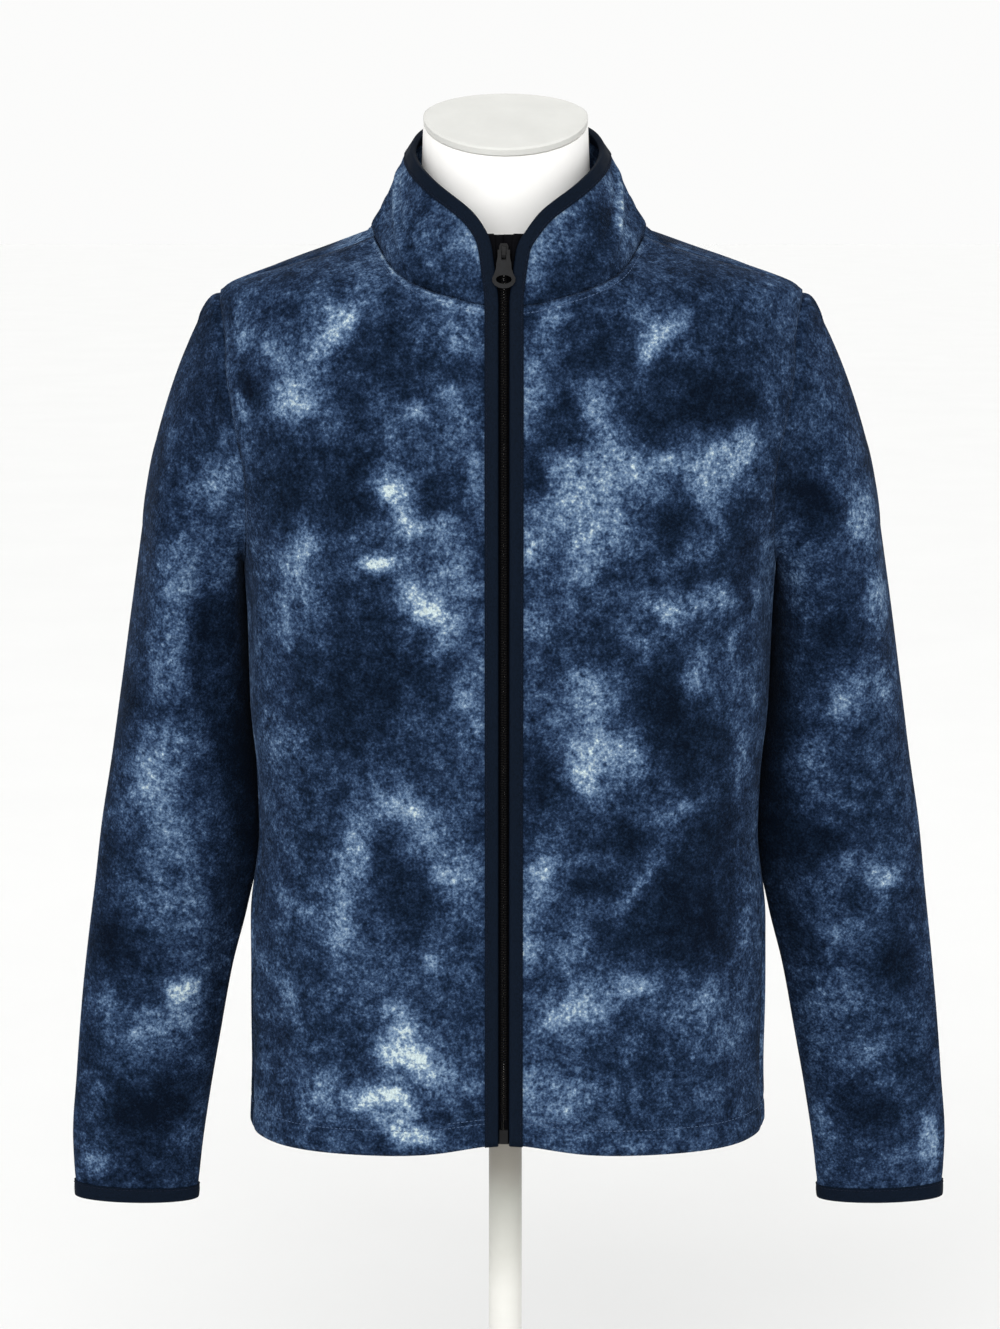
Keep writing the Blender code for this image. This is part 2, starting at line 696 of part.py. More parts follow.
def ring_normals(rows, first_normals):
    """Outward normals of a tube given as rings of points."""
    around = np.roll(rows, -1, axis=1) - np.roll(rows, 1, axis=1)
    along = np.gradient(rows, axis=0)
    normals = np.cross(along, around)
    normals /= np.linalg.norm(normals, axis=2, keepdims=True)
    centre = rows.mean(axis=1, keepdims=True)
    if np.sum(normals[-1] * (rows[-1] - centre[-1])) < 0:
        normals = -normals
    normals[0] = first_normals
    return normals


def sleeve_wall(side):
    """Outer and inner surface of a sleeve with its folds."""
    rows, first_normals, angles = sleeve_base()
    normals = ring_normals(rows, first_normals)
    for row in range(1, len(rows)):
        calm = smooth_step((row - 1) / 4.0)
        crown = CROWN_STEPS[row] if row < len(CROWN_STEPS) else 1.0
        for column, angle in enumerate(angles):
            rise = calm * fold_rise(SLEEVE_FOLDS, side, rows[row, column, 2], angle)
            outward = max(0.0, -math.cos(math.radians(angle))) ** 1.5
            rise += CROWN_SWELL * outward * math.sin(math.pi * crown ** 0.6)
            rows[row, column] += normals[row, column] * rise
    mirror = np.array([side, 1.0, 1.0])
    outer = np.array([[widen(point, side) for point in row] for row in rows])
    return outer, outer - normals * mirror * FLEECE


# Collar

def neck_seam():
    """Seam round the neck from the right front edge to the left front edge."""
    seam, normals, out, angles = [], [], [], []
    for side in (RIGHT, LEFT):
        start = ZIP_X * side + ZIP_TO_CLOTH
        front_rows = (NeckPoint(start, FRONT_NECK[0].height),) + FRONT_NECK[1:]
        half = []
        for front, rows in ((True, front_rows), (False, tuple(reversed(BACK_NECK)))):
            samples = even_samples(rows, NECK_CELLS)
            if not front:
                samples = samples[::-1][1:]
            for width, height in samples:
                reach = reach_at_width(width, height, not front)
                half.append(place_on_body(reach, height, not front))
        half = np.array(half)
        facing = np.array([body_normal(point) for point in half])
        along = np.gradient(half, axis=0)
        away = np.cross(along, facing)
        away /= np.linalg.norm(away, axis=1, keepdims=True)
        away *= np.where(away[:, 2:] < 0, -1.0, 1.0)
        mirror = np.array([side, 1.0, 1.0])
        placed = np.array([widen(point, side) for point in half])
        turn = np.degrees(np.arctan2(np.abs(half[:, 0]) / 100.0, -half[:, 1] / 85.0)) * side
        parts = [placed, facing * mirror, away * mirror, turn]
        if side == LEFT:
            parts = [part[::-1][1:] for part in parts]
        for store, part in zip((seam, normals, out, angles), parts):
            store.extend(part)
    return np.array(seam), np.array(normals), np.array(out), np.array(angles)


def collar_top(count_half):
    """Top edge of the collar from the right front edge to the left."""
    edge = []
    for side in (RIGHT, LEFT):
        half_width = COLLAR_HALF_WIDTH * (1.0 + side * SIDE_SHARE[-1].share)
        start_x = ZIP_X + side * ZIP_TO_CLOTH
        first = math.degrees(math.asin(abs(start_x) / half_width))
        middle = (COLLAR_BACK - COLLAR_FRONT) / 2
        half_depth = (COLLAR_BACK + COLLAR_FRONT) / 2
        half = []
        for share in np.linspace(0.0, 1.0, 161):
            angle = first + (180.0 - first) * share
            turn = math.radians(angle)
            half.append((side * half_width * math.sin(turn),
                         middle - half_depth * math.cos(turn),
                         float(COLLAR_CURVE(angle))))
        half = resample(np.array(half), count_half)
        edge.extend(half if side == RIGHT else half[::-1][1:])
    return np.array(edge)


NECK_SEAM, NECK_NORMALS, NECK_OUT, NECK_ANGLES = neck_seam()
COLLAR_EDGE = collar_top(2 * NECK_CELLS)


def collar_fold(angle):
    total = 0.0
    for side, middle, spread, rise in COLLAR_FOLDS:
        away = (angle - side * middle) / spread
        total += rise * math.exp(-away * away)
    return total


def collar_row(share):
    """Points of the collar at a share of the way from the seam to the edge."""
    start = NECK_SEAM + NECK_OUT * SEAM_GAP / 2
    flat = start * (1.0 - share) + COLLAR_EDGE * share
    outward = NECK_SEAM * np.array([1.0, 1.0, 0.0])
    outward /= np.linalg.norm(outward, axis=1, keepdims=True)
    sideways = np.abs(np.sin(np.radians(NECK_ANGLES)))
    swell = COLLAR_BULGE * math.sin(math.pi * share ** 1.3) * sideways
    ridge = np.array([collar_fold(angle) for angle in NECK_ANGLES])
    ridge = ridge * math.sin(math.pi * share) ** 0.8 if 0.0 < share < 1.0 else ridge * 0.0
    return flat + outward * (swell + ridge)[:, None]


def collar_shares():
    """Shares of the collar's rows, one at the lower edge of the binding."""
    height = np.linalg.norm(COLLAR_EDGE - NECK_SEAM, axis=1).mean()
    return [1.0 - BINDING_WIDTH / height if share is None else share for share in COLLAR_ROWS]


def sheet_normals(rows, outward_hint):
    around = np.gradient(rows, axis=1)
    along = np.gradient(rows, axis=0)
    normals = np.cross(around, along)
    normals /= np.linalg.norm(normals, axis=2, keepdims=True)
    if np.sum(normals * outward_hint) < 0:
        normals = -normals
    return normals


def collar_wall():
    rows = np.array([collar_row(share) for share in collar_shares()])
    outward = rows - np.array([0.0, -5.0, 0.0])
    outward[..., 2] = 0.0
    normals = sheet_normals(rows, outward)
    normals[0] = NECK_NORMALS
    return rows, rows - normals * FLEECE, normals


# Making solids

def material(name, colour, roughness, metallic=0.0):
    made = bpy.data.materials.new(name)
    made.use_nodes = True
    shader = made.node_tree.nodes["Principled BSDF"]
    shader.inputs["Base Color"].default_value = (*colour, 1.0)
    shader.inputs["Roughness"].default_value = roughness
    shader.inputs["Metallic"].default_value = metallic
    return made


def solid(name, points, faces, look, smooth=True, split=False):
    """Turn points in millimetres and their faces into a named closed solid.

    Split faces become triangles from their first corner, so that two cloths
    that lie along each other bend along the same lines.
    """
    mesh = bpy.data.meshes.new(name)
    mesh.from_pydata([tuple(float(value) * MM for value in point) for point in points], [], faces)
    mesh.validate()
    shape = bmesh.new()
    shape.from_mesh(mesh)
    if split:
        bmesh.ops.triangulate(shape, faces=shape.faces[:], quad_method="FIXED")
    bmesh.ops.recalc_face_normals(shape, faces=shape.faces)
    shape.to_mesh(mesh)
    shape.free()
    mesh.polygons.foreach_set("use_smooth", [smooth] * len(mesh.polygons))
    mesh.materials.append(look)
    made = bpy.data.objects.new(name, mesh)
    bpy.context.scene.collection.objects.link(made)
    return made


def grid_faces(rows, columns, start, closed):
    faces = []
    for row in range(rows - 1):
        for column in range(columns if closed else columns - 1):
            across = (column + 1) % columns
            a, b = row * columns + column, row * columns + across
            faces.append(tuple(start + k for k in (a, b, b + columns, a + columns)))
    return faces


def wall(name, outer, inner, look, closed=False):
    """Solid between two grids of points, with a rim round its open edges."""
    rows, columns = outer.shape[:2]
    count = rows * columns
    points = np.vstack((outer.reshape(-1, 3), inner.reshape(-1, 3)))
    faces = grid_faces(rows, columns, 0, closed)
    faces += [face[:1] + face[:0:-1] for face in grid_faces(rows, columns, count, closed)]
    last = (rows - 1) * columns
    rim = []
    for column in range(columns if closed else columns - 1):
        across = (column + 1) % columns
        rim += [(column, across), (last + column, last + across)]
    if not closed:
        for row in range(rows - 1):
            for column in (0, columns - 1):
                rim.append((row * columns + column, (row + 1) * columns + column))
    for a, b in rim:
        if abs(points[a][0]) < abs(points[b][0]):
            a, b = b, a
        faces.append((a, b, count + b, count + a))
    return solid(name, points, faces, look, split=True)


def swept(name, profiles, look, closed=False, turned_sides=None):
    """Solid through a row of profiles with equal numbers of points.

    Where turned sides are given its faces are split, and theirs the other way.
    """
    profiles = np.array(profiles)
    stations, count = profiles.shape[:2]
    faces = []
    for station in range(stations if closed else stations - 1):
        after = (station + 1) % stations
        for index in range(count):
            across = (index + 1) % count
            face = (station * count + index, station * count + across,
                    after * count + across, after * count + index)
            faces.append(face[1:] + face[:1] if index in (turned_sides or ()) else face)
    if not closed:
        faces.append(tuple(range(count)))
        faces.append(tuple(range((stations - 1) * count, stations * count)))
    split = turned_sides is not None
    return solid(name, profiles.reshape(-1, 3), faces, look, split=split)


# Binding, folded over a cloth edge like a channel; these sides of it are
# split into triangles the same way as the cloth that they lie along
CHANNEL_TURNED = (5, 9)


def channel_profile(edge, edge_normal, leaf, leaf_normal, cloth):
    """Section of a folded binding: edge is its fold, leaf its stitched side."""
    inward = (leaf - edge) / np.linalg.norm(leaf - edge)
    gap, skin = BINDING_GAP, BINDING_CLOTH
    fold = edge - inward * (gap + skin)
    soft = edge - inward * (gap + 0.35 * skin)
    return (
        leaf + leaf_normal * gap,
        leaf + leaf_normal * (gap + 0.8 * skin),
        soft + edge_normal * (gap + 0.7 * skin),
        fold - edge_normal * 0.25 * cloth,
        fold - edge_normal * 0.75 * cloth,
        soft - edge_normal * (cloth + gap + 0.7 * skin),
        leaf - leaf_normal * (cloth + gap + skin),
        leaf - leaf_normal * (cloth + gap),
        edge - inward * gap - edge_normal * (cloth + gap),
        edge - inward * gap + edge_normal * gap,
    )


def front_levels():
    """Heights up the front edge, the same as the panel's own rows."""
    step = (FRONT_NECK_HEIGHT - UNDERARM_HEIGHT) / ARMHOLE_CELLS
    upper = [UNDERARM_HEIGHT + step * row for row in range(1, ARMHOLE_CELLS)]
    return list(SKIRT_ROWS) + upper + [FRONT_NECK_HEIGHT - 1.0]


def front_edge_profiles(side):
    """Binding sections up one front edge from the hem to the neck seam."""
    start = ZIP_X * side + ZIP_TO_CLOTH
    heights = front_levels()
    mirror = np.array([side, 1.0, 1.0])
    profiles = []
    for height in heights:
        cloth = cloth_thickness(height)
        spots = []
        for reach in (start, start + BINDING_WIDTH):
            place = place_on_body(reach_at_width(reach, height), height)
            spots += [widen(place, side), body_normal(place) * mirror]
        profiles.append(channel_profile(*spots, cloth))
    return profiles


def collar_edge_profiles(rows, normals):
    """Binding sections up the collar's right end, over its top and down again."""
    leaf_row = rows.shape[0] - 2
    profiles = []
    for column, step in ((0, 1), (rows.shape[1] - 1, -1)):
        upright = []
        for row in range(0, leaf_row + 1):
            edge = rows[row, column]
            toward = rows[row, column + step] - edge
            reach = BINDING_WIDTH / np.linalg.norm(toward)
            leaf = edge + toward * reach
            facing = normals[row, column] if row else normals[1, column]
            upright.append(channel_profile(edge, facing, leaf, facing, FLEECE))
        edge = rows[-1, column]
        toward = rows[leaf_row, column + step] - edge
        leaf = edge + toward * min(1.0, 1.3 * BINDING_WIDTH / np.linalg.norm(toward))
        facing = normals[-1, column]
        upright.append(channel_profile(edge, facing, leaf, facing, FLEECE))
        if step == 1:
            profiles += upright
            for across in range(1, rows.shape[1] - 1):
                profiles.append(channel_profile(rows[-1, across], normals[-1, across],
                                                rows[leaf_row, across],
                                                normals[leaf_row, across], FLEECE))
        else:
            profiles += upright[::-1]
    return profiles


def edge_binding(rows, normals, look):
    right = front_edge_profiles(RIGHT)
    left = front_edge_profiles(LEFT)
    profiles = right + collar_edge_profiles(rows, normals) + left[::-1]
    return swept("edge_binding", profiles, look, turned_sides=CHANNEL_TURNED)


def cuff_binding(name, side, look):
    outer, inner = sleeve_wall(side)
    profiles = []
    for column in range(RING_CELLS):
        edge, leaf = outer[-1, column], outer[-2, column]
        edge_normal = (edge - inner[-1, column]) / FLEECE
        leaf_normal = (leaf - inner[-2, column]) / FLEECE
        profiles.append(channel_profile(edge, edge_normal, leaf, leaf_normal, FLEECE))
    return swept(name, profiles, look, closed=True, turned_sides=CHANNEL_TURNED)


# Zip

def zip_line(height):
    """Point on the cloth's face at the zip, and the way it faces."""
    if height <= FRONT_NECK_HEIGHT:
        place = place_on_body(reach_at_width(abs(ZIP_X), height), height)
        return np.array([ZIP_X, place[1], place[2]]), body_normal(place) * np.array([0, 1, 1])
    low, high = NECK_SEAM[0], COLLAR_EDGE[0]
    share = (height - low[2]) / (high[2] - low[2])
    rise = high - low
    facing = np.array([0.0, -rise[2], rise[1]]) / math.hypot(rise[1], rise[2])
    return np.array([ZIP_X, low[1] + rise[1] * share, height]), facing


def tape_level(height):
    """How far behind the cloth's face the front of the tape lies."""
    return cloth_thickness(height) + BINDING_GAP + BINDING_CLOTH + SEAM_GAP


def zip_tape(name, side, look):
    """Half of the zip: a tape with the bead of its coil along one edge."""
    slider_low = SLIDER_TOP - SLIDER_LENGTH
    heights = front_levels() + [FRONT_NECK_HEIGHT + step for step in TAPE_ABOVE_SEAM]
    heights += [slider_low - 6.0, slider_low - 0.8, SLIDER_TOP + 1.5]
    profiles = []
    for height in heights:
        place, facing = zip_line(height)
        level = tape_level(height)
        opened = height > slider_low - 1.0
        inner = TAPE_GAP + (TAPE_SPREAD if opened else 0.0)
        coil = max(COIL_HALF_WIDTH, inner + 1.2)
        bead = COIL_RISE if height > HEM_HEIGHT + HEM_DEPTH + 1.0 else COIL_RISE_AT_HEM
        if opened:
            bead = COIL_RISE_OPENED
        above = height - FRONT_NECK_HEIGHT + TAPE_CURL_LENGTH / 2
        edge = level + TAPE_CURL * smooth_step(above / TAPE_CURL_LENGTH)
        section = ((inner, -level - TAPE_CLOTH), (inner, -level + bead - COIL_ROUNDING),
                   (inner + COIL_ROUNDING, -level + bead), (coil - COIL_ROUNDING, -level + bead),
                   (coil, -level), (TAPE_HALF_WIDTH, -edge), (TAPE_HALF_WIDTH, -edge - TAPE_CLOTH))
        profiles.append([place + np.array([side * x, 0.0, 0.0]) + facing * n for x, n in section])
    return swept(name, profiles, look)


def framed(points, origin, facing):
    """Place local points: x across, y out of the cloth, z up along it."""
    up = np.array([0.0, facing[2], -facing[1]])
    return [origin + np.array([x, 0.0, 0.0]) + facing * y + up * z for x, y, z in points]


def prism(name, outline, half_width, origin, facing, look):
    """Outline of depth and height swept sideways."""
    loops = [framed([(x, y, z) for y, z in outline], origin, facing)
             for x in (-half_width, half_width)]
    return swept(name, loops, look)


def plate(name, outline, low, high, origin, facing, look):
    """Flat plate lying along the cloth, between two distances from it."""
    loops = [framed([(x, depth, z) for x, z in outline], origin, facing)
             for depth in (low, high)]
    return swept(name, loops, look)


def combine(target, other, operation):
    """Unite a second solid with the first or cut it away, then drop it."""
    other.hide_render = True
    other.display_type = "WIRE"
    change = target.modifiers.new("combine", "BOOLEAN")
    change.operation = operation
    change.solver = "EXACT"
    change.object = other
    bpy.context.view_layer.update()
    shape = bpy.data.meshes.new_from_object(
        target.evaluated_get(bpy.context.evaluated_depsgraph_get()))
    target.modifiers.clear()
    target.data = shape
    bpy.data.objects.remove(other, do_unlink=True)


def mirrored(half_outline):
    """Whole outline from the points of its right half, top to bottom."""
    return list(half_outline) + [(-x, z) for x, z in reversed(half_outline)]


def round_outline(half_width, half_height, count, middle=0.0):
    turns = [2.0 * math.pi * step / count for step in range(count)]
    return [(half_width * math.cos(turn), middle + half_height * math.sin(turn))
            for turn in turns]


def zip_slider(look):
    """Slider body with the arch that carries the pull tab."""
    origin, facing = zip_line(SLIDER_TOP)
    back = -tape_level(SLIDER_TOP) - TAPE_CLOTH - SLIDER_EDGE
    outline = mirrored(SLIDER_PLATE)
    levels = ((back, 0.86), (back + SLIDER_EDGE, 1.0),
              (SLIDER_FRONT - SLIDER_EDGE, 1.0), (SLIDER_FRONT, 0.88))
    loops = [framed([(x * grow, depth, z) for x, z in outline], origin, facing)
             for depth, grow in levels]
    body = swept("zip_slider", loops, look)
    arch = prism("arch", ARCH, ARCH_HALF_WIDTH, origin, facing, look)
    window = prism("window", ARCH_WINDOW, 2.0 * ARCH_HALF_WIDTH, origin, facing, look)
    combine(arch, window, "DIFFERENCE")
    combine(body, arch, "UNION")
    return body


def zip_pull_tab(look):
    """Pull tab with its pin under the arch and an oval finger hole."""
    origin, facing = zip_line(SLIDER_TOP)
    up = np.array([0.0, facing[2], -facing[1]])
    hinge = origin + facing * HINGE_OUT - up * HINGE_BELOW_TOP
    half = list(TAB_NECK)
    for degrees in range(35, -66, -25):
        turn = math.radians(degrees)
        half.append((TAB_RING[0] * math.cos(turn), TAB_RING_HEIGHT + TAB_RING[1] * math.sin(turn)))
    outline = mirrored(half)
    outline.insert(len(half), (0.0, TAB_RING_HEIGHT - TAB_RING[1]))
    body = plate("zip_pull_tab", outline, TAB_BACK, TAB_FRONT, hinge, facing, look)
    eye = mirrored([(TAB_EYE_HALF_WIDTH, height) for height in TAB_EYE_HEIGHTS])
    hole = round_outline(*TAB_HOLE, 12, TAB_RING_HEIGHT)
    for name, cut in (("eye", eye), ("hole", hole)):
        cutter = plate(name, cut, -TAB_CUT_REACH, TAB_CUT_REACH, hinge, facing, look)
        combine(body, cutter, "DIFFERENCE")
    pin = round_outline(HINGE_PIN_RADIUS, HINGE_PIN_RADIUS, 8)
    combine(body, prism("pin", pin, HINGE_PIN_HALF_LENGTH, hinge, facing, look), "UNION")
    centre_on(body, hinge)
    return body


def centre_on(part, place):
    """Put a part's origin on its hinge without moving the part."""
    shift = np.array(place) * MM
    for vertex in part.data.vertices:
        vertex.co = (vertex.co[0] - shift[0], vertex.co[1] - shift[1], vertex.co[2] - shift[2])
    part.location = tuple(float(value) for value in shift)


def zip_end(name, span, low, high, look):
    """Small block on the tapes at the lower end of the zip, its edges eased."""
    place, facing = zip_line((low + high) / 2)
    behind = COIL_RISE_AT_HEM + SEAM_GAP - tape_level(low)
    half = (high - low) / 2
    corners = [(x, y, z) for x in span for y in (behind, behind + BLOCK_THICKNESS)
               for z in (-half, half)]
    points = framed(corners, place, facing)
    faces = [(0, 1, 3, 2), (4, 6, 7, 5), (0, 4, 5, 1), (2, 3, 7, 6), (0, 2, 6, 4), (1, 5, 7, 3)]
    made = solid(name, points, faces, look, smooth=False)
    shape = bmesh.new()
    shape.from_mesh(made.data)
    bmesh.ops.bevel(shape, geom=shape.edges[:], offset=BLOCK_EDGE * MM, segments=1,
                    affect="EDGES")
    shape.to_mesh(made.data)
    shape.free()
    return made


# Dress form and stand

def form_ring(height):
    """One closed ring of the dress form, leaning forward up the neck."""
    sizes = {name: float(curve(height)) for name, curve in FORM_CURVES.items()}
    middle = float(SHOULDER_CURVES["depth"](min(height + FORM_EASE, 1060.0)))
    middle *= 1.0 - smooth_step((height - 1050.0) / 30.0)
    power = 2.0 / sizes["squareness"]
    lean = NECK_TILT * smooth_step((height - NECK_TILT_START) / 70.0)
    centre = (sizes["back"] - sizes["front"]) / 2
    ring = []
    for cell in range(FORM_CELLS):
        turn = 2.0 * math.pi * cell / FORM_CELLS
        across, along = math.sin(turn), -math.cos(turn)
        reach = sizes["front"] + middle if along < 0 else sizes["back"] - middle
        x = sizes["half_width"] * math.copysign(abs(across) ** power, across)
        y = middle + reach * math.copysign(abs(along) ** power, along)
        rise = float(rise_behind_seam(y, min(height + FORM_EASE, 1060.0)))
        rise *= FORM_RISE_SHARE * (1.0 - smooth_step((height - 1050.0) / 30.0))
        z = height + rise + (y - centre) * math.sin(lean)
        ring.append((x, centre + (y - centre) * math.cos(lean), z))
    return ring


def dress_form(look):
    heights = [section.height for section in FORM]
    rings = [form_ring(height) for height in heights]
    return swept("dress_form", rings, look)


def form_neck_cap(look):
    """Thin lid on the neck, tilted forward with it."""
    top = np.array(form_ring(FORM[-1].height))
    centre = top.mean(axis=0)
    up = np.array([0.0, -math.sin(NECK_TILT), math.cos(NECK_TILT)])
    start = centre + up * SEAM_GAP
    rings = []
    for grow, level in ((0.985, 0.0), (1.0, 0.8), (1.0, 2.0 * CAP_HALF_THICKNESS - 1.2),
                        (0.97, 2.0 * CAP_HALF_THICKNESS)):
        rings.append([start + (point - centre) * grow + up * level for point in top])
    return swept("form_neck_cap", rings, look)


def turned(name, outline, look):
    """Solid of revolution about the post's axis from radius and height."""
    rings = []
    for radius, height in outline:
        rings.append([(radius * math.cos(2.0 * math.pi * cell / ROUND_CELLS),
                       radius * math.sin(2.0 * math.pi * cell / ROUND_CELLS), height)
                      for cell in range(ROUND_CELLS)])
    return swept(name, rings, look)


def stand(post_look, base_look):
    top = FORM[0].height - SEAM_GAP
    turned("stand_post", ((POST_RADIUS, BASE_HEIGHT + SEAM_GAP), (POST_RADIUS, top)), post_look)
    turned("stand_base", ((BASE_RADIUS - 1.0, 0.0), (BASE_RADIUS, 1.0),
                          (BASE_RADIUS, BASE_HEIGHT - BASE_ROUND),
                          (BASE_RADIUS - 1.2, BASE_HEIGHT - 1.2),
                          (BASE_RADIUS - BASE_ROUND, BASE_HEIGHT)), base_look)


# Build everything

def build_jacket():
    fleece = material("fleece", (0.055, 0.095, 0.20), 0.95)
    binding = material("binding", (0.010, 0.014, 0.028), 0.72)
    tape = material("zip_tape", (0.006, 0.007, 0.010), 0.80)
    zip_metal = material("zip_dark_metal", (0.035, 0.036, 0.040), 0.38, 0.6)
    for name, side in (("jacket_front_left", LEFT), ("jacket_front_right", RIGHT)):
        wall(name, *panel_wall(True, side), fleece)
    left, right = panel_wall(False, LEFT), panel_wall(False, RIGHT)
    back = [np.concatenate((l[:, ::-1], r[:, 1:]), axis=1) for l, r in zip(left, right)]
    wall("jacket_back", *back, fleece)
    for name, side in (("sleeve_left", LEFT), ("sleeve_right", RIGHT)):
        wall(name, *sleeve_wall(side), fleece, closed=True)
    rows, inner, normals = collar_wall()
    wall("collar", rows, inner, fleece)
    edge_binding(rows, normals, binding)
    for name, side in (("cuff_binding_left", LEFT), ("cuff_binding_right", RIGHT)):
        cuff_binding(name, side, binding)
    for name, side in (("zip_tape_left", LEFT), ("zip_tape_right", RIGHT)):
        zip_tape(name, side, tape)
    zip_slider(zip_metal)
    zip_pull_tab(zip_metal)
    box_low = HEM_HEIGHT + BOX_ABOVE_HEM
    box_high = box_low + BOX_LENGTH
    zip_end("zip_box", BOX_SPAN, box_low, box_high, zip_metal)
    pin_low = box_high + BOX_TO_PIN
    zip_end("zip_pin", PIN_SPAN, pin_low, pin_low + PIN_LENGTH, zip_metal)


def build_form():
    form_white = material("form_white", (0.86, 0.85, 0.83), 0.55)
    stand_white = material("stand_white", (0.84, 0.84, 0.83), 0.45)
    dress_form(form_white)
    form_neck_cap(form_white)
    stand(stand_white, stand_white)


build_jacket()
build_form()
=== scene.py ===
# %% [markdown]
# # A fleece zip jacket on a dress form
#
# This lesson dresses a plain model of a fleece jacket. The model gives every
# cut piece its right size. Here each piece becomes fine, soft cloth with its
# cloudy print, its seams, its stitches and the small teeth of its zip.

import math

import bpy
import numpy as np
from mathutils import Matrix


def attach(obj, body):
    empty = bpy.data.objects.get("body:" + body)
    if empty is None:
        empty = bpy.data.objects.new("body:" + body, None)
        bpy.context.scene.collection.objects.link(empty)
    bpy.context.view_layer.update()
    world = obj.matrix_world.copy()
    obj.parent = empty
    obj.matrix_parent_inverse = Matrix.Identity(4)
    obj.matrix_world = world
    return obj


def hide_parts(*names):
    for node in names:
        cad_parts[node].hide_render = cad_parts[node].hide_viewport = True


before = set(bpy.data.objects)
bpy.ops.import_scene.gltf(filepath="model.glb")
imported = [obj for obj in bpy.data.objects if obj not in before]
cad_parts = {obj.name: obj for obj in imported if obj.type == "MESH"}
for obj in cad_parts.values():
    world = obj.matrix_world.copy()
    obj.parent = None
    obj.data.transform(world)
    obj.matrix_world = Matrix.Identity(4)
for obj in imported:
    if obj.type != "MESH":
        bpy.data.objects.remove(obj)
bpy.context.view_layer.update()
MM = 0.001
RIGHT, LEFT = -1, 1

# %% [markdown]
# ## The shape of the worn jacket
#
# A tailor would describe a worn body by sections: how wide and how deep the
# cloth stands at each height. A smooth curve through each column of the table
# fills in the heights between. All sizes here are millimetres; +X is the
# wearer's left, -Y the front and +Z up.

# %% Tables of the body
# height, half width, depth to the front and to the back, squareness
BODY = (
    (371.0, 199.5, 121.0, 109.0, 3.4), (425.0, 197.0, 117.0, 104.0, 3.15),
    (480.0, 198.0, 112.0, 98.0, 3.0), (530.0, 198.5, 109.0, 93.0, 2.9),
    (600.0, 191.5, 107.0, 87.0, 2.8), (640.0, 192.5, 108.0, 89.0, 2.8),
    (700.0, 197.5, 110.0, 96.0, 2.8), (760.0, 199.0, 112.0, 104.0, 2.8),
    (800.0, 201.0, 113.0, 110.0, 2.75), (829.0, 207.0, 113.0, 112.0, 2.7),
    (868.0, 216.0, 112.0, 113.0, 2.6), (913.0, 225.0, 109.0, 112.0, 2.5),
    (946.0, 227.0, 104.0, 109.0, 2.4), (978.0, 223.0, 98.0, 104.0, 2.2),
    (1007.0, 218.5, 90.0, 97.0, 2.0), (1013.5, 211.0, 84.0, 95.0, 2.0),
    (1019.0, 197.0, 79.0, 93.0, 2.0), (1025.0, 177.5, 71.0, 91.0, 2.0),
    (1030.5, 157.5, 61.0, 89.0, 2.0), (1037.0, 136.0, 48.0, 87.0, 2.0),
    (1043.5, 116.5, 36.0, 85.0, 2.0), (1050.0, 100.5, 26.0, 82.0, 2.0),
    (1056.0, 94.0, 22.0, 79.0, 2.0), (1064.0, 87.0, 20.0, 76.0, 2.0),
)
# height, depth of the shoulder seam, rise behind it, how much depth counts
SHOULDER = (
    (371.0, 0.0, 0.0, 1.0), (880.0, 0.0, 0.0, 1.0), (960.0, 0.0, 0.0, 0.55),
    (1007.0, -8.0, 0.0, 0.3), (1015.0, -10.0, 7.5, 0.3), (1022.0, -12.0, 12.0, 0.3),
    (1037.0, -15.0, 14.5, 0.3), (1050.0, -18.0, 13.0, 0.3), (1064.0, -18.0, 10.0, 0.3),
)
# height and depth of the side seam, then height and how much wider the left side is
SIDE_SEAM = ((371.0, -50.0), (560.0, -38.0), (700.0, -16.0), (800.0, 0.0))
SIDE_SHARE = ((300.0, 0.008), (450.0, 0.008), (600.0, 0.012), (800.0, 0.016),
              (990.0, 0.016), (1025.0, 0.024), (1140.0, 0.020))
RISE_LENGTH = 28.0
HEM_HEIGHT, HEM_DEPTH, UNDERARM, TIP = 371.0, 20.0, 800.0, 1007.0
NECK_SIDE, FRONT_NECK_LOW, BACK_NECK_HIGH = 1050.0, 1001.0, 1062.0
HEM_LIFT, HEM_LIFT_REACH, HEM_LIFT_TOP = 9.0, 45.0, 440.0
HEM_TOP = HEM_HEIGHT + HEM_DEPTH + 1.0
ZIP_X, ZIP_TO_CLOTH = -1.5, 5.4
FLEECE, HEM_FOLD, SEAM_GAP = 2.4, 3.8, 0.3


def smooth_through(places, values):
    """Give a curve through the values that never swings past them."""
    places, values = np.asarray(places, float), np.asarray(values, float)
    steps = np.diff(places)
    rises = np.diff(values) / steps
    slopes = np.zeros_like(values)
    slopes[0], slopes[-1] = rises[0], rises[-1]
    same_way = rises[:-1] * rises[1:] > 0.0
    total = np.where(same_way, rises[:-1] + rises[1:], 1.0)
    slopes[1:-1] = np.where(same_way, 2.0 * rises[:-1] * rises[1:] / total, 0.0)

    def curve(place):
        place = np.clip(place, places[0], places[-1])
        cell = np.clip(np.searchsorted(places, place, side="right") - 1, 0, len(steps) - 1)
        share = (place - places[cell]) / steps[cell]
        lead = share * (1.0 - share) ** 2 * steps[cell]
        tail = share * share * (share - 1.0) * steps[cell]
        return (values[cell] * (1.0 - ease(share)) + values[cell + 1] * ease(share)
                + slopes[cell] * lead + slopes[cell + 1] * tail)

    return curve


def curves_of(rows):
    columns = np.array(rows, float).T
    return [smooth_through(columns[0], column) for column in columns[1:]]


def ease(share):
    return share * share * (3.0 - 2.0 * share)


def smooth_step(share):
    return ease(np.clip(share, 0.0, 1.0))


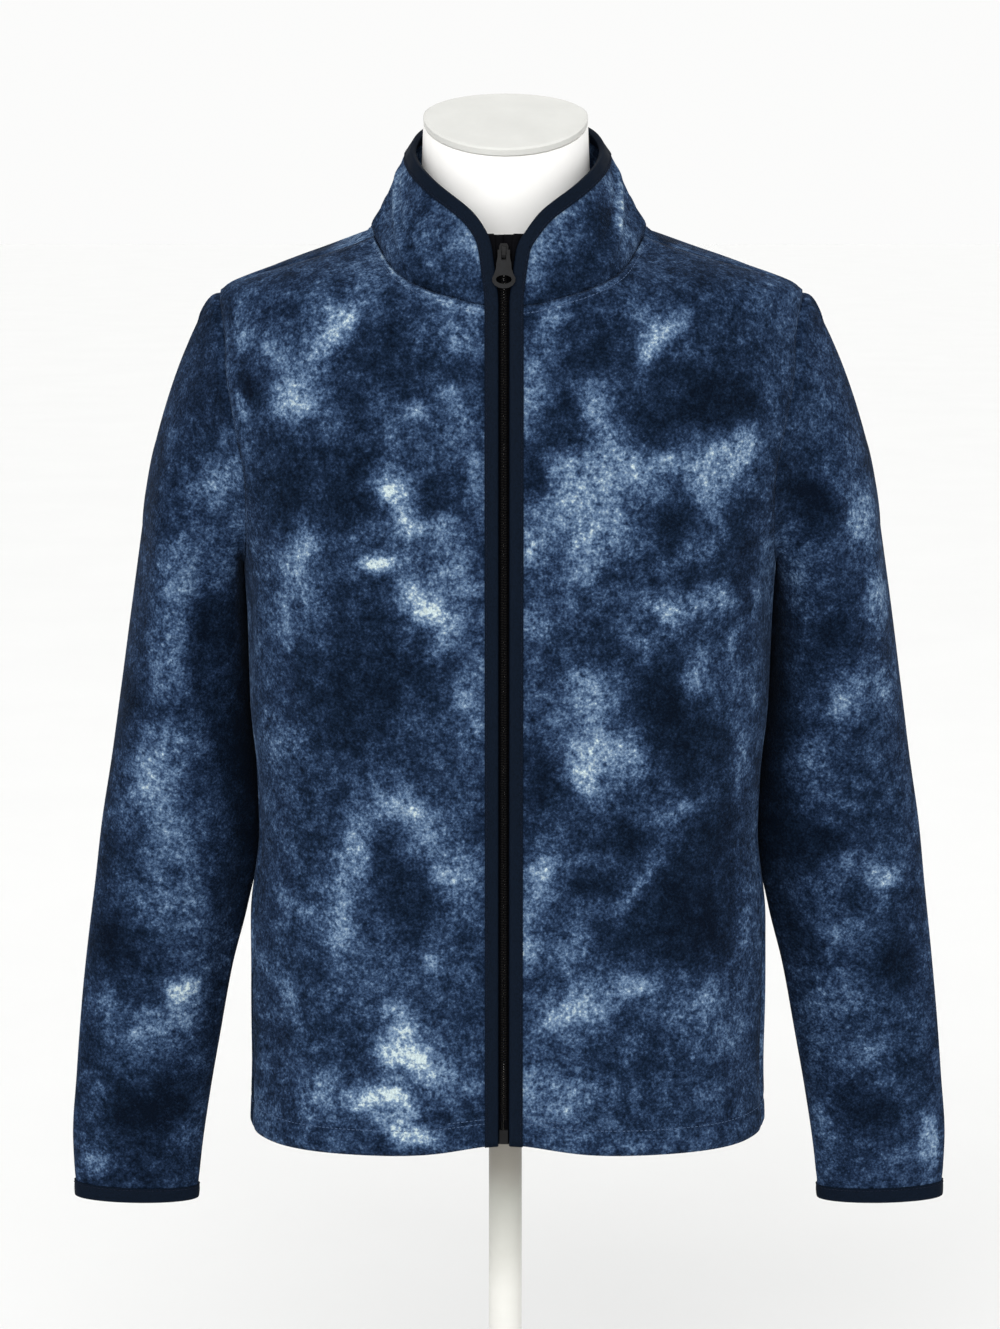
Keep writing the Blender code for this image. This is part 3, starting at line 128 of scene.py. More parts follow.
def unit(vectors):
    return vectors / np.linalg.norm(vectors, axis=-1, keepdims=True)


width_at, front_at, back_at, square_at = curves_of(BODY)
seam_depth_at, seam_rise_at, depth_counts_at = curves_of(SHOULDER)
side_seam_at, = curves_of(SIDE_SEAM)
share_at, = curves_of(SIDE_SHARE)
print("curves for", len(BODY), "sections of the body")

# %% [markdown]
# ## Walking on the body
#
# To lay cloth on the body we need one question answered quickly: where is the
# point at this reach round from the zip, at this height? Each section is
# walked once and kept in a table, and each such question reads that table.
# The same table serves the back, measured from the middle of the back.

# %% Table of sections
HEIGHTS = np.arange(360.0, 1064.5, 1.0)
SHARES = 401


def rise_behind_seam(depth, height):
    """Rise of the back behind the shoulder seam: quick at the neck, slow out on the shoulder."""
    out = smooth_step((NECK_SIDE + 3.0 - height) / 12.0)
    behind = depth - seam_depth_at(height)
    slow = 0.16 * smooth_step(behind / 20.0) + 0.84 * smooth_step((behind - 16.0) / 56.0)
    quick = smooth_step(behind / RISE_LENGTH)
    return seam_rise_at(height) * (slow * out + quick * (1.0 - out))


def section(height, samples=361):
    """Across, depth and reach of one half of a section, from the zip round."""
    turn = np.linspace(0.0, math.pi, samples)
    power = 2.0 / square_at(height)
    middle = seam_depth_at(height)
    across = width_at(height) * np.abs(np.sin(turn)) ** power
    along = np.abs(np.cos(turn)) ** power
    depth = middle + np.where(turn < math.pi / 2, -(front_at(height) + middle) * along,
                              (back_at(height) - middle) * along)
    steps = np.hypot(np.diff(across), depth_counts_at(height) * np.diff(depth))
    return across, depth, np.concatenate(([0.0], np.cumsum(steps)))


def walk_sections():
    across, depth, lengths = [], [], []
    for height in HEIGHTS:
        x, y, reach = section(height)
        wanted = np.linspace(0.0, reach[-1], SHARES)
        across.append(np.interp(wanted, reach, x))
        depth.append(np.interp(wanted, reach, y))
        lengths.append(reach[-1])
    return np.array(across), np.array(depth), np.array(lengths)


ACROSS, DEPTH, LENGTHS = walk_sections()


def look_up(table, share, height):
    row = np.clip(height - HEIGHTS[0], 0.0, len(HEIGHTS) - 1.001)
    column = np.clip(share, 0.0, 1.0) * (SHARES - 1)
    i, j = row.astype(int), np.minimum(column.astype(int), SHARES - 2)
    a, b = row - i, column - j
    low = table[i, j] * (1.0 - b) + table[i, j + 1] * b
    high = table[i + 1, j] * (1.0 - b) + table[i + 1, j + 1] * b
    return low * (1.0 - a) + high * a


def place_on_body(reach, height, from_back=False):
    """Points of the body at reaches from the zip, or from the back's middle."""
    reach, height = np.broadcast_arrays(np.asarray(reach, float), np.asarray(height, float))
    if not from_back:
        fade = smooth_step((HEM_LIFT_TOP - height) / (HEM_LIFT_TOP - HEM_HEIGHT))
        height = height + HEM_LIFT * np.exp(-(reach / HEM_LIFT_REACH) ** 2) * fade
    share = reach / np.interp(height, HEIGHTS, LENGTHS)
    share = 1.0 - share if from_back else share
    x, y = look_up(ACROSS, share, height), look_up(DEPTH, share, height)
    return np.stack([x, y, height + rise_behind_seam(y, height)], axis=-1)


def reach_at_depth(depth, height, from_back=False):
    across, depths, reach = section(height)
    found = float(np.interp(depth, depths, reach))
    return reach[-1] - found if from_back else found


def reach_at_width(width, height, from_back=False):
    across, depths, reach = section(height)
    half = len(across) // 2 + 1
    if from_back:
        return reach[-1] - float(np.interp(-width, -across[half - 1:], reach[half - 1:]))
    return float(np.interp(width, across[:half], reach[:half]))


def body_parts(points):
    x, y, z = points[..., 0], points[..., 1], points[..., 2]
    height = z - rise_behind_seam(y, z)
    for _ in range(3):
        height = 0.5 * height + 0.5 * (z - rise_behind_seam(y, height))
    middle = seam_depth_at(height)
    reach = np.where(y < middle, front_at(height) + middle, back_at(height) - middle)
    return np.abs(x) / width_at(height), (y - middle) / reach, square_at(height)


def body_level(points):
    across, along, power = body_parts(points)
    return across ** power + np.abs(along) ** power


def body_normal(points, step=1.5):
    slopes = []
    for axis in range(3):
        shift = np.eye(3)[axis] * step
        slopes.append(body_level(points + shift) - body_level(points - shift))
    return unit(np.stack(slopes, axis=-1))


def body_angle(points):
    """0 at the zip, 90 at the side, 180 at the middle of the back."""
    across, along, _ = body_parts(points)
    return np.degrees(np.arctan2(across, -along))


def mirror(side):
    """Turns the way a point faces into that of its twin on the given side."""
    return np.array([side, 1.0, 1.0])


def widen(points, side):
    """Put points on their own side, a touch wider on the wearer's left."""
    grow = side * (1.0 + side * share_at(points[..., 2]))
    return points * np.stack([grow, np.ones_like(grow), np.ones_like(grow)], axis=-1)


hem_row = int(HEM_HEIGHT - HEIGHTS[0])
print("the hem's half section is", round(float(LENGTHS[hem_row])), "mm long")

# %% [markdown]
# ## Folds
#
# Fleece is thick and springy, so it never makes sharp creases. Each fold is a
# soft trough or ridge that runs from one height and angle to another, and it
# dies out at both ends. The list is uneven on purpose, as a worn jacket is:
# pulls at the front of the armhole, ripples above the hem, a hollow back.

# %% Lists of folds
# side, top, angle there, low, angle there, spread in degrees, rise
SLEEVE_FOLDS = (
    (RIGHT, 930, 134, 700, 110, 15, 3.2), (RIGHT, 900, 62, 660, 24, 14, 3.6),
    (RIGHT, 905, 96, 600, 50, 15, -5.0), (RIGHT, 690, 36, 400, 26, 17, -3.5),
    (RIGHT, 880, 262, 680, 285, 15, 3.4), (RIGHT, 860, 232, 600, 250, 15, -4.4),
    (LEFT, 985, 138, 880, 78, 12, 3.0), (LEFT, 950, 150, 740, 56, 13, 3.6),
    (LEFT, 900, 148, 700, 124, 13, 2.6), (LEFT, 840, 96, 600, 68, 15, -4.6),
    (LEFT, 690, 38, 400, 28, 17, -3.0), (LEFT, 890, 268, 690, 288, 15, 3.2),
    (LEFT, 850, 236, 610, 252, 15, -4.2),
)
SMALL_SLEEVE_FOLDS = (
    (RIGHT, 860, 118, 760, 96, 7, 1.3), (RIGHT, 800, 60, 690, 74, 7, -1.4),
    (RIGHT, 640, 120, 520, 98, 9, 1.1), (RIGHT, 560, 70, 440, 88, 9, -1.2),
    (RIGHT, 480, 120, 360, 100, 10, 0.9), (RIGHT, 820, 300, 700, 262, 8, 1.4),
    (RIGHT, 600, 240, 470, 270, 9, -1.3), (LEFT, 880, 110, 790, 92, 7, -1.3),
    (LEFT, 790, 100, 690, 112, 7, 1.2), (LEFT, 640, 90, 500, 112, 9, -1.1),
    (LEFT, 560, 120, 430, 96, 9, 1.1), (LEFT, 460, 70, 350, 84, 10, -0.9),
    (LEFT, 810, 296, 690, 266, 8, -1.4), (LEFT, 600, 250, 460, 276, 9, 1.3),
)
BODY_FOLDS = (
    (RIGHT, 560, 66, 330, 70, 6, 2.4), (RIGHT, 600, 50, 320, 54, 7, -2.0),
    (RIGHT, 640, 122, 320, 118, 8, 3.0), (RIGHT, 700, 145, 340, 140, 8, -3.0),
    (RIGHT, 860, 66, 690, 74, 7, -2.4), (LEFT, 580, 70, 330, 74, 6, 2.2),
    (LEFT, 620, 52, 320, 57, 7, -2.2), (LEFT, 650, 125, 320, 120, 8, 3.0),
    (LEFT, 690, 148, 340, 143, 8, -2.6), (LEFT, 850, 64, 680, 72, 7, -2.2),
)
SMALL_BODY_FOLDS = (
    (RIGHT, 470, 79, 340, 81, 2.4, 1.2), (RIGHT, 520, 60, 330, 61, 3.5, 0.8),
    (RIGHT, 700, 34, 460, 30, 7, 0.9), (RIGHT, 890, 58, 790, 48, 5, 1.1),
    (RIGHT, 980, 40, 860, 58, 7, -1.2), (RIGHT, 640, 160, 420, 166, 7, 1.3),
    (LEFT, 480, 81, 340, 83, 2.4, 1.2), (LEFT, 540, 61, 330, 63, 3.5, 0.8),
    (LEFT, 690, 31, 470, 35, 7, 0.9), (LEFT, 890, 56, 800, 46, 5, 1.1),
    (LEFT, 975, 42, 850, 60, 7, -1.2), (LEFT, 620, 165, 400, 160, 7, -1.3),
)


def fold_rise(folds, side, height, angle):
    """Sum of the soft folds of one side at given heights and angles."""
    total = np.zeros(np.shape(height))
    for own, top, top_angle, low, low_angle, spread, rise in folds:
        if own == side:
            share = np.clip((top - height) / (top - low), 0.0, 1.0)
            middle = top_angle + (low_angle - top_angle) * share
            away = ((angle - middle + 180.0) % 360.0 - 180.0) / spread
            total += rise * np.exp(-away * away) * np.sin(math.pi * share) ** 2
    return total


print(len(SLEEVE_FOLDS + BODY_FOLDS), "large folds and",
      len(SMALL_SLEEVE_FOLDS + SMALL_BODY_FOLDS), "small ones")

# %% [markdown]
# ## The cloudy print, charted
#
# The print looks dyed by hand: soft light clouds, a few almost white hot
# spots, and darker pools. It repeats about every 401 mm. Each row is one soft
# patch on the flat cloth: its reach from the zip, its height, its two
# radii, its turn in degrees and its strength. The speckle inside a patch comes
# later from the material, because the pile breaks up every edge.

# %% Chart of the print
FRONT_PATCHES = (
    (-105, 935, 62, 52, 0, 0.12),
    (-126, 996, 16, 12, 0, 0.5), (-140, 969, 36, 13, 50, 0.45), (-175, 968, 13, 10, 0, 0.4),
    (-148, 933, 16, 12, 0, 0.45), (-202, 931, 6, 34, 0, 0.4), (-30, 984, 18, 16, 0, 0.5),
    (-44, 938, 10, 15, 0, 0.3), (-73, 927, 7, 6, 0, 0.45), (-90, 884, 10, 30, 0, 0.45),
    (-81, 870, 10, 7, -35, 0.95), (-68, 850, 9, 16, 0, 0.85), (-90, 816, 13, 7, 0, 0.95),
    (-48, 838, 16, 9, 0, 0.5), (-74, 790, 7, 10, 0, 0.4), (-59, 782, 18, 9, -20, 0.85),
    (-41, 812, 15, 19, 0, 0.35), (-48, 757, 9, 12, 0, 0.5), (-154, 817, 12, 18, 0, 0.6),
    (-156, 772, 22, 19, 0, 0.25), (-20, 878, 7, 19, 0, 0.35), (-21, 715, 12, 30, 0, 0.45),
    (-107, 833, 16, 12, 0, 0.25), (-172, 672, 22, 22, 0, 0.3), (-81, 630, 22, 10, 0, 0.55),
    (-117, 602, 13, 26, 0, 0.5), (-124, 552, 15, 22, 0, 0.45), (-59, 610, 10, 13, 0, 0.45),
    (-30, 588, 15, 22, 0, 0.45), (-163, 555, 16, 10, 0, 0.45), (-169, 481, 6, 10, 0, 0.3),
    (-60, 512, 9, 6, 0, 0.45), (-84, 483, 10, 7, 0, 0.4), (-75, 462, 10, 16, -30, 0.85),
    (-66, 439, 12, 9, 0, 0.85), (-91, 412, 15, 9, 0, 0.9), (-75, 384, 18, 9, -20, 0.8),
    (-138, 418, 13, 15, 0, 0.5), (-42, 430, 15, 19, 0, 0.35), (-182, 943, 10, 22, 0, -0.45),
    (-96, 959, 33, 30, 0, -0.4), (-115, 862, 36, 45, 0, -0.35), (-180, 859, 22, 30, 0, -0.2),
    (-120, 729, 44, 34, 0, -0.4), (-41, 870, 15, 19, 0, -0.3), (-26, 959, 18, 9, 0, -0.3),
    (-75, 580, 18, 30, 0, -0.4), (21, 942, 12, 21, 0, 0.55), (28, 986, 13, 7, 0, 0.45),
    (117, 990, 16, 10, 0, 0.6), (85, 998, 10, 7, 0, 0.35), (108, 977, 6, 13, 0, 0.4),
    (67, 935, 15, 13, 0, 0.4), (74, 913, 10, 15, 0, 0.5), (44, 884, 22, 10, 0, 0.5),
    (68, 884, 23, 13, 8, 0.42), (106, 893, 15, 10, 0, 0.42), (146, 897, 20, 12, 0, 0.4),
    (173, 893, 9, 15, 0, 0.45),
    (156, 875, 15, 19, 0, 0.4), (42, 863, 18, 19, 0, 0.5), (57, 823, 16, 21, 0, 0.5),
    (17, 831, 9, 15, 0, 0.5), (81, 848, 22, 30, 0, 0.35), (133, 822, 15, 10, 0, 0.35),
    (113, 783, 12, 12, 0, 0.5), (146, 784, 16, 9, 0, 0.45), (104, 760, 18, 10, 0, 0.3),
    (19, 768, 13, 9, 0, 0.4), (144, 734, 9, 16, 0, 0.5), (172, 748, 4, 22, 0, 0.35),
    (193, 937, 7, 15, 0, 0.4), (57, 713, 18, 22, 0, 0.5), (189, 791, 6, 11, 0, 0.35),
    (67, 667, 18, 19, 0, 0.5), (98, 674, 11, 11, 0, 0.4), (61, 649, 9, 19, 0, 0.4),
    (121, 631, 22, 7, 0, 0.4), (104, 583, 10, 6, 30, 0.65), (91, 568, 6, 10, 0, 0.4),
    (19, 537, 10, 16, 0, 0.55), (55, 531, 10, 15, 0, 0.4), (22, 581, 9, 10, 0, 0.45),
    (178, 673, 9, 22, 0, 0.35), (188, 531, 10, 22, 0, 0.3), (37, 475, 18, 10, 0, 0.5),
    (60, 487, 22, 12, 0, 0.4), (92, 497, 12, 9, 0, 0.38), (142, 488, 21, 14, 0, 0.33),
    (51, 414, 18, 15, 0, 0.45),
    (18, 413, 9, 15, 0, 0.45), (67, 973, 22, 15, 0, -0.4), (132, 930, 44, 22, 0, -0.5),
    (47, 924, 10, 30, 0, -0.25), (125, 847, 13, 22, 0, -0.4), (134, 803, 15, 10, 0, -0.3),
    (112, 722, 29, 22, 0, -0.45), (175, 815, 15, 37, 0, -0.3), (61, 753, 22, 9, 0, -0.2),
    (14, 881, 9, 15, 0, -0.35), (29, 656, 18, 22, 0, -0.35), (87, 614, 18, 12, 0, -0.35),
    (54, 577, 13, 10, 0, -0.4), (137, 547, 36, 37, 0, -0.5), (163, 612, 22, 22, 0, -0.35),
    (135, 683, 22, 30, 0, -0.4),
)
# on the sleeves: angle round the arm, height, radius round and up, strength; the last two of each
# side are painted shade, not print
SLEEVE_PRINT_AND_SHADE = {
    RIGHT: (
        (88, 870, 9, 27, 0.5), (96, 795, 14, 27, 0.45), (105, 733, 10, 31, 0.5),
        (112, 646, 12, 27, 0.65), (95, 591, 10, 23, 0.4), (106, 543, 15, 17, 0.35),
        (71, 539, 6, 19, 0.3), (65, 470, 8, 9, 0.95), (68, 446, 14, 11, 0.5),
        (137, 460, 10, 11, 0.4), (86, 426, 16, 11, 0.35), (132, 380, 9, 12, 0.35),
        (129, 330, 10, 9, 0.5), (36, 350, 10, 11, 0.3), (12, 871, 5, 5, 0.9),
        (50, 823, 6, 31, 0.25), (78, 671, 10, 15, 0.3), (145, 698, 8, 15, -0.3),
        (70, 764, 8, 23, -0.3), (134, 517, 10, 19, -0.4), (80, 373, 22, 14, -0.4),
        # Painted shade, not print: the inner side darkens where the sleeve hangs against the body.
        (24, 720, 20, 75, -0.3), (20, 610, 18, 70, -0.35),
    ),
    LEFT: (
        (58, 947, 10, 22, 0.5), (32, 882, 6, 15, 0.45), (127, 838, 9, 22, 0.55),
        (138, 780, 9, 17, 0.4), (44, 785, 10, 17, 0.3), (135, 707, 9, 14, 0.4),
        (96, 702, 8, 14, 0.35), (66, 658, 9, 15, 0.35), (117, 560, 7, 8, 0.7),
        (91, 574, 8, 8, 0.35), (70, 519, 14, 12, 0.3), (69, 462, 15, 12, 0.35),
        (82, 424, 18, 11, 0.35), (141, 346, 7, 18, 0.6), (39, 371, 9, 15, 0.3),
        (102, 390, 10, 11, 0.25), (89, 855, 10, 20, -0.4), (89, 749, 10, 15, -0.3),
        (70, 591, 12, 18, -0.35), (43, 516, 9, 15, -0.35), (122, 494, 14, 23, -0.4),
        # The last two patches here are painted shade on the inner side, where the sleeve hangs
        # against the body.
        (83, 373, 16, 14, -0.35), (24, 720, 20, 75, -0.3), (20, 610, 18, 70, -0.35),
    ),
}
# on the collar: angle round the neck, share up from the seam, radii, strength
COLLAR_PATCHES = (
    (-66, 0.7, 12, 0.28, 0.28), (-40, 0.4, 11, 0.3, 0.12), (-15, 0.8, 7, 0.25, 0.32),
    (-34, 0.12, 10, 0.2, -0.28), (-84, 0.35, 9, 0.3, -0.15), (16, 0.72, 9, 0.25, 0.36),
    (31, 0.85, 8, 0.2, 0.22), (58, 0.5, 8, 0.35, 0.3), (8, 0.35, 6, 0.25, 0.22),
    (43, 0.55, 7, 0.25, -0.28), (27, 0.12, 10, 0.15, -0.22), (-130, 0.5, 18, 0.4, 0.3),
    (120, 0.45, 16, 0.4, 0.3), (175, 0.6, 20, 0.3, 0.35), (150, 0.3, 12, 0.3, -0.3),
)
REPEAT = 401.0
TILE_LOW, TILE_WIDTH = 480.0, 410.0
GLOW_FROM, PLAIN_MOST, PLAIN_EASE = 0.75, 0.42, 0.16


def soft_patch(across, along, radius_across, radius_along, turn=0.0):
    """One at the middle of a patch, fading to nought past its edge."""
    cosine, sine = math.cos(math.radians(turn)), math.sin(math.radians(turn))
    a = (across * cosine + along * sine) / radius_across
    b = (along * cosine - across * sine) / radius_along
    return np.exp(-0.62 * (a * a + b * b) ** 1.15)


def drifted(across, along):
    """Places pushed about unevenly, so that no patch has a plain outline."""
    push = (6.0 * np.sin(along / 21.0 + 1.7 * np.sin(across / 33.0))
            + 3.2 * np.sin(along / 8.5 + across / 13.0))
    lift = (5.0 * np.sin(across / 19.0 + 1.4 * np.sin(along / 29.0) + 2.0)
            + 2.8 * np.sin(across / 7.5 - along / 12.0))
    return across + push, along + lift


def patches_tone(patches, gap_across, gap_along):
    """Sum of soft patches, in which only the strongest ones glow almost white."""
    plain, glow = 0.0, 0.0
    for u, v, wide, tall, turn, strength in patches:
        patch = strength * soft_patch(gap_across(u), gap_along(v), wide, tall, turn)
        if strength > GLOW_FROM:
            glow = glow + patch
        else:
            plain = plain + patch
    held = PLAIN_MOST + PLAIN_EASE * np.tanh((plain - PLAIN_MOST) / PLAIN_EASE)
    return np.where(plain > PLAIN_MOST, held, plain) + glow


def front_tone(reach, height):
    reach, height = drifted(reach, height)
    return patches_tone(FRONT_PATCHES, lambda u: reach - u, lambda v: height - v)


def wrapped(gap, length):
    return (gap + length / 2) % length - length / 2


def tile_tone(across, height):
    """The same print wherever it isn't seen from the front, repeated."""
    across, height = drifted(across, height)
    tile = [patch for patch in FRONT_PATCHES if TILE_LOW <= patch[1] < TILE_LOW + REPEAT]
    return patches_tone(tile, lambda u: wrapped(across - u, TILE_WIDTH),
                        lambda v: wrapped(height - v, REPEAT))


print(len(FRONT_PATCHES), "patches on the fronts, repeated every", REPEAT, "mm")

# %% [markdown]
# ## Making thin cloth from a grid
#
# Every cloth piece is a grid of points on its outer face and the same grid
# moved in by the cloth's thickness. A rim closes the four edges, or the two
# ends of a tube. Each point also keeps two things: how light the print is
# there, with some painted light and shade added on top, and its place on the
# flat cloth, which becomes the texture map.

# %% Helpers for grids and meshes
ALL_PIECES = {}


def grid_faces(rows, columns, closed):
    row, column = np.meshgrid(np.arange(rows - 1), np.arange(columns if closed else columns - 1),
                              indexing="ij")
    across = (column + 1) % columns
    corners = (row * columns + column, row * columns + across,
               (row + 1) * columns + across, (row + 1) * columns + column)
    return np.stack([corner.ravel() for corner in corners], axis=1)


def run_along(trail):
    """Distance from the start of a trail at each of its points."""
    return np.concatenate(([0.0], np.cumsum(np.linalg.norm(np.diff(trail, axis=0), axis=1))))


def points_at(trail, run, places):
    """Points of a trail at given distances from its start."""
    return np.stack([np.interp(places, run, column) for column in trail.T], axis=1)


def resample(trail, cells):
    """The same trail with even steps."""
    trail = np.asarray(trail, float)
    run = run_along(trail)
    return points_at(trail, run, np.linspace(0.0, run[-1], cells + 1))


def even_samples(points, cells):
    """Even steps along a smooth curve through a few points."""
    points = np.asarray(points, float)
    lengths = run_along(points)
    fine = np.linspace(0.0, lengths[-1], 40 * cells + 1)
    trail = np.stack([smooth_through(lengths, column)(fine) for column in points.T], axis=1)
    return resample(trail, cells)


def grid_normals(grid, closed=False, hint=None):
    """Normals of a grid, facing away from the hint point of each row."""
    if closed:
        around = np.roll(grid, -1, axis=1) - np.roll(grid, 1, axis=1)
    else:
        around = np.gradient(grid, axis=1)
    normals = np.cross(np.gradient(grid, axis=0), around)
    normals /= np.maximum(np.linalg.norm(normals, axis=2, keepdims=True), 1e-9)
    middle = grid.mean(axis=1, keepdims=True) if hint is None else np.asarray(hint, float)
    if np.sum(normals * (grid - middle) * np.array([1.0, 1.0, 0.0])) < 0:
        normals = -normals
    return normals


def make_mesh(name, points, faces, smooth=True):
    mesh = bpy.data.meshes.new(name)
    mesh.from_pydata((np.asarray(points) * MM).tolist(), [], faces)
    mesh.polygons.foreach_set("use_smooth", [smooth] * len(mesh.polygons))
    mesh.update()
    piece = bpy.data.objects.new(name, mesh)
    bpy.context.scene.collection.objects.link(piece)
    ALL_PIECES[name] = piece
    return piece


def values_of(items, kind, width=1, number=np.float64):
    """One kind of value of all vertices, corners or faces as an array."""
    values = np.zeros(len(items) * width, number)
    items.foreach_get(kind, values)
    return values.reshape(-1, width) if width > 1 else values


def keep_values(piece, tone, cloth):
    """Store the tone, print with painted light and shade on top, and the place on the flat cloth."""
    mesh = piece.data
    layer = mesh.attributes.new("tone", "FLOAT", "POINT")
    layer.data.foreach_set("value", np.asarray(tone, np.float32).ravel())
    places = mesh.uv_layers.new(name="cloth")
    order = values_of(mesh.loops, "vertex_index", number=np.int32)
    flat = np.asarray(cloth, np.float32).reshape(-1, 2)[order] * MM
    places.data.foreach_set("uv", flat.ravel())


def cloth_shell(name, outer, inner, tone, cloth, closed=False):
    """Thin closed cloth between two grids, with its tone values of print and painted light."""
    rows, columns = outer.shape[:2]
    count = rows * columns
    faces = grid_faces(rows, columns, closed)
    back = faces[:, ::-1] + count
    rim = []
    last = (rows - 1) * columns
    for column in range(columns if closed else columns - 1):
        across = (column + 1) % columns
        rim.append((across, column, count + column, count + across))
        rim.append((last + column, last + across, count + last + across, count + last + column))
    if not closed:
        for row in range(rows - 1):
            a, b = row * columns, (row + 1) * columns
            rim.append((a, b, count + b, count + a))
            a, b = a + columns - 1, b + columns - 1
            rim.append((b, a, count + a, count + b))
    points = np.vstack((outer.reshape(-1, 3), inner.reshape(-1, 3)))
    normal = np.cross(outer[1, 1] - outer[1, 0], outer[2, 0] - outer[1, 0])
    everything = faces.tolist() + back.tolist() + rim
    if np.dot(normal, outer[1, 0] - inner[1, 0]) < 0:
        everything = [face[::-1] for face in everything]
    piece = make_mesh(name, points, everything)
    keep_values(piece, np.concatenate((tone.ravel(), tone.ravel())),
                np.concatenate((cloth.reshape(-1, 2), cloth.reshape(-1, 2))))
    return piece


# how far the cloth's face rolls in at a seam or a stitched line, and how wide
SEAM_ROLL, NECK_ROLL, HEM_ROLL = (1.3, 3.2), (1.2, 3.2), (1.6, 2.4)
HEM_LINE_ROLL, CUFF_LINE_ROLL = (0.9, 2.6), (0.35, 3.0)


def roll_in(face, normals, distance, roll):
    """Let the face of the cloth roll in towards a seam."""
    drop, width = roll
    return face - normals * (drop * np.exp(-(distance / width) ** 2))[..., None]


def run_from(grid, edge):
    """Distance along the grid from one of its edges."""
    axis = 0 if edge in ("low", "top") else 1
    steps = np.linalg.norm(np.diff(grid, axis=axis), axis=2)
    run = np.cumsum(steps, axis=axis)
    start = np.zeros_like(np.take(run, [0], axis=axis))
    run = np.concatenate((start, run), axis=axis)
    if edge in ("top", "outer"):
        run = np.take(run, [-1], axis=axis) - run
    return run


print("grid helpers ready")

# %% [markdown]
# ## Fronts and back
#
# A front runs from the zip to the side seam. Its top edge is the neckline and
# then the forward shoulder seam, and its outer edge is the side seam and then
# the armhole. The grid follows those edges, so the cloth's threads bend round
# the chest as a cut panel's do. The back is two mirrored halves in one piece.

# %% Panels
# depth and height round the armhole, then half width and height along each neckline
ARMHOLE = ((0.0, 800.0), (-47.0, 823.0), (-63.0, 884.0), (-44.0, 960.0),
           (-8.0, 1007.0), (46.0, 968.0), (72.0, 893.0), (52.0, 826.0))
TIP_NUMBER, LOOP_STEPS = 4, 12
FRONT_NECK = ((4.0, 1001.0), (22.0, 1003.0), (39.0, 1007.5), (56.0, 1012.5),
              (72.0, 1019.0), (86.0, 1029.0), (100.5, 1050.0))
BACK_NECK = ((0.0, 1062.0), (21.0, 1062.0), (41.0, 1061.5), (60.0, 1060.5),
             (78.0, 1059.0), (93.5, 1056.0), (100.5, 1050.0))
ARMHOLE_CELLS, NECK_CELLS, SHOULDER_CELLS, SKIRT_CELLS = 64, 36, 30, 112
# The last two set a painted highlight along the neck seam's raised welt, stronger on the wearer's
# right.
WELT_PLACE, WELT_WIDTH, WELT_RISE, WELT_HIGHLIGHT, WELT_HIGHLIGHT_TURN = 5.0, 3.4, 0.6, 0.36, 0.14
SEAM_CALM, DEEPEST_SMALL_FOLD, SHOULDER_LEVELS = 14.0, 0.8, 40
FRONT_PRINT_REACH, BACK_PRINT_START = 205.0, (60.0, 150.0)
BACK_TONE_MOST, NECK_TONE_MOST, NECK_TONE_REACH = 0.72, 0.36, 45.0
# where the back, the sleeves and the collar lie on the flat cloth's map
BACK_PLACE, SLEEVE_PLACE, SLEEVE_APART, COLLAR_PLACE = 900.0, 1600.0, 400.0, 2600.0


def between(before, start, end, after, t):
    """A point on the smooth curve from start to end, at share t of the way."""
    return 0.5 * (2.0 * start + (end - before) * t
                  + (2.0 * before - 5.0 * start + 4.0 * end - after) * t ** 2
                  + (3.0 * start - before - 3.0 * end + after) * t ** 3)


def rounded_loop(points):
    """Points of a closed curve that rounds through each listed point."""
    points, trail = np.asarray(points, float), []
    for index in range(len(points)):
        near = [points[(index + k) % len(points)] for k in (-1, 0, 1, 2)]
        trail += [between(*near, t) for t in np.arange(LOOP_STEPS) / LOOP_STEPS]
    return np.array(trail)


def armhole_points(cells):
    """Depth and height round the armhole, from the underarm forward."""
    loop = rounded_loop(ARMHOLE)
    closed, tip = np.vstack((loop, loop[:1])), TIP_NUMBER * LOOP_STEPS
    return np.vstack((resample(closed[:tip + 1], cells), resample(closed[tip:], cells)[1:-1]))


def armhole_half(front, cells):
    points = armhole_points(cells)
    if front:
        return points[:cells + 1]
    return np.vstack((points[cells:], points[:1]))[::-1]


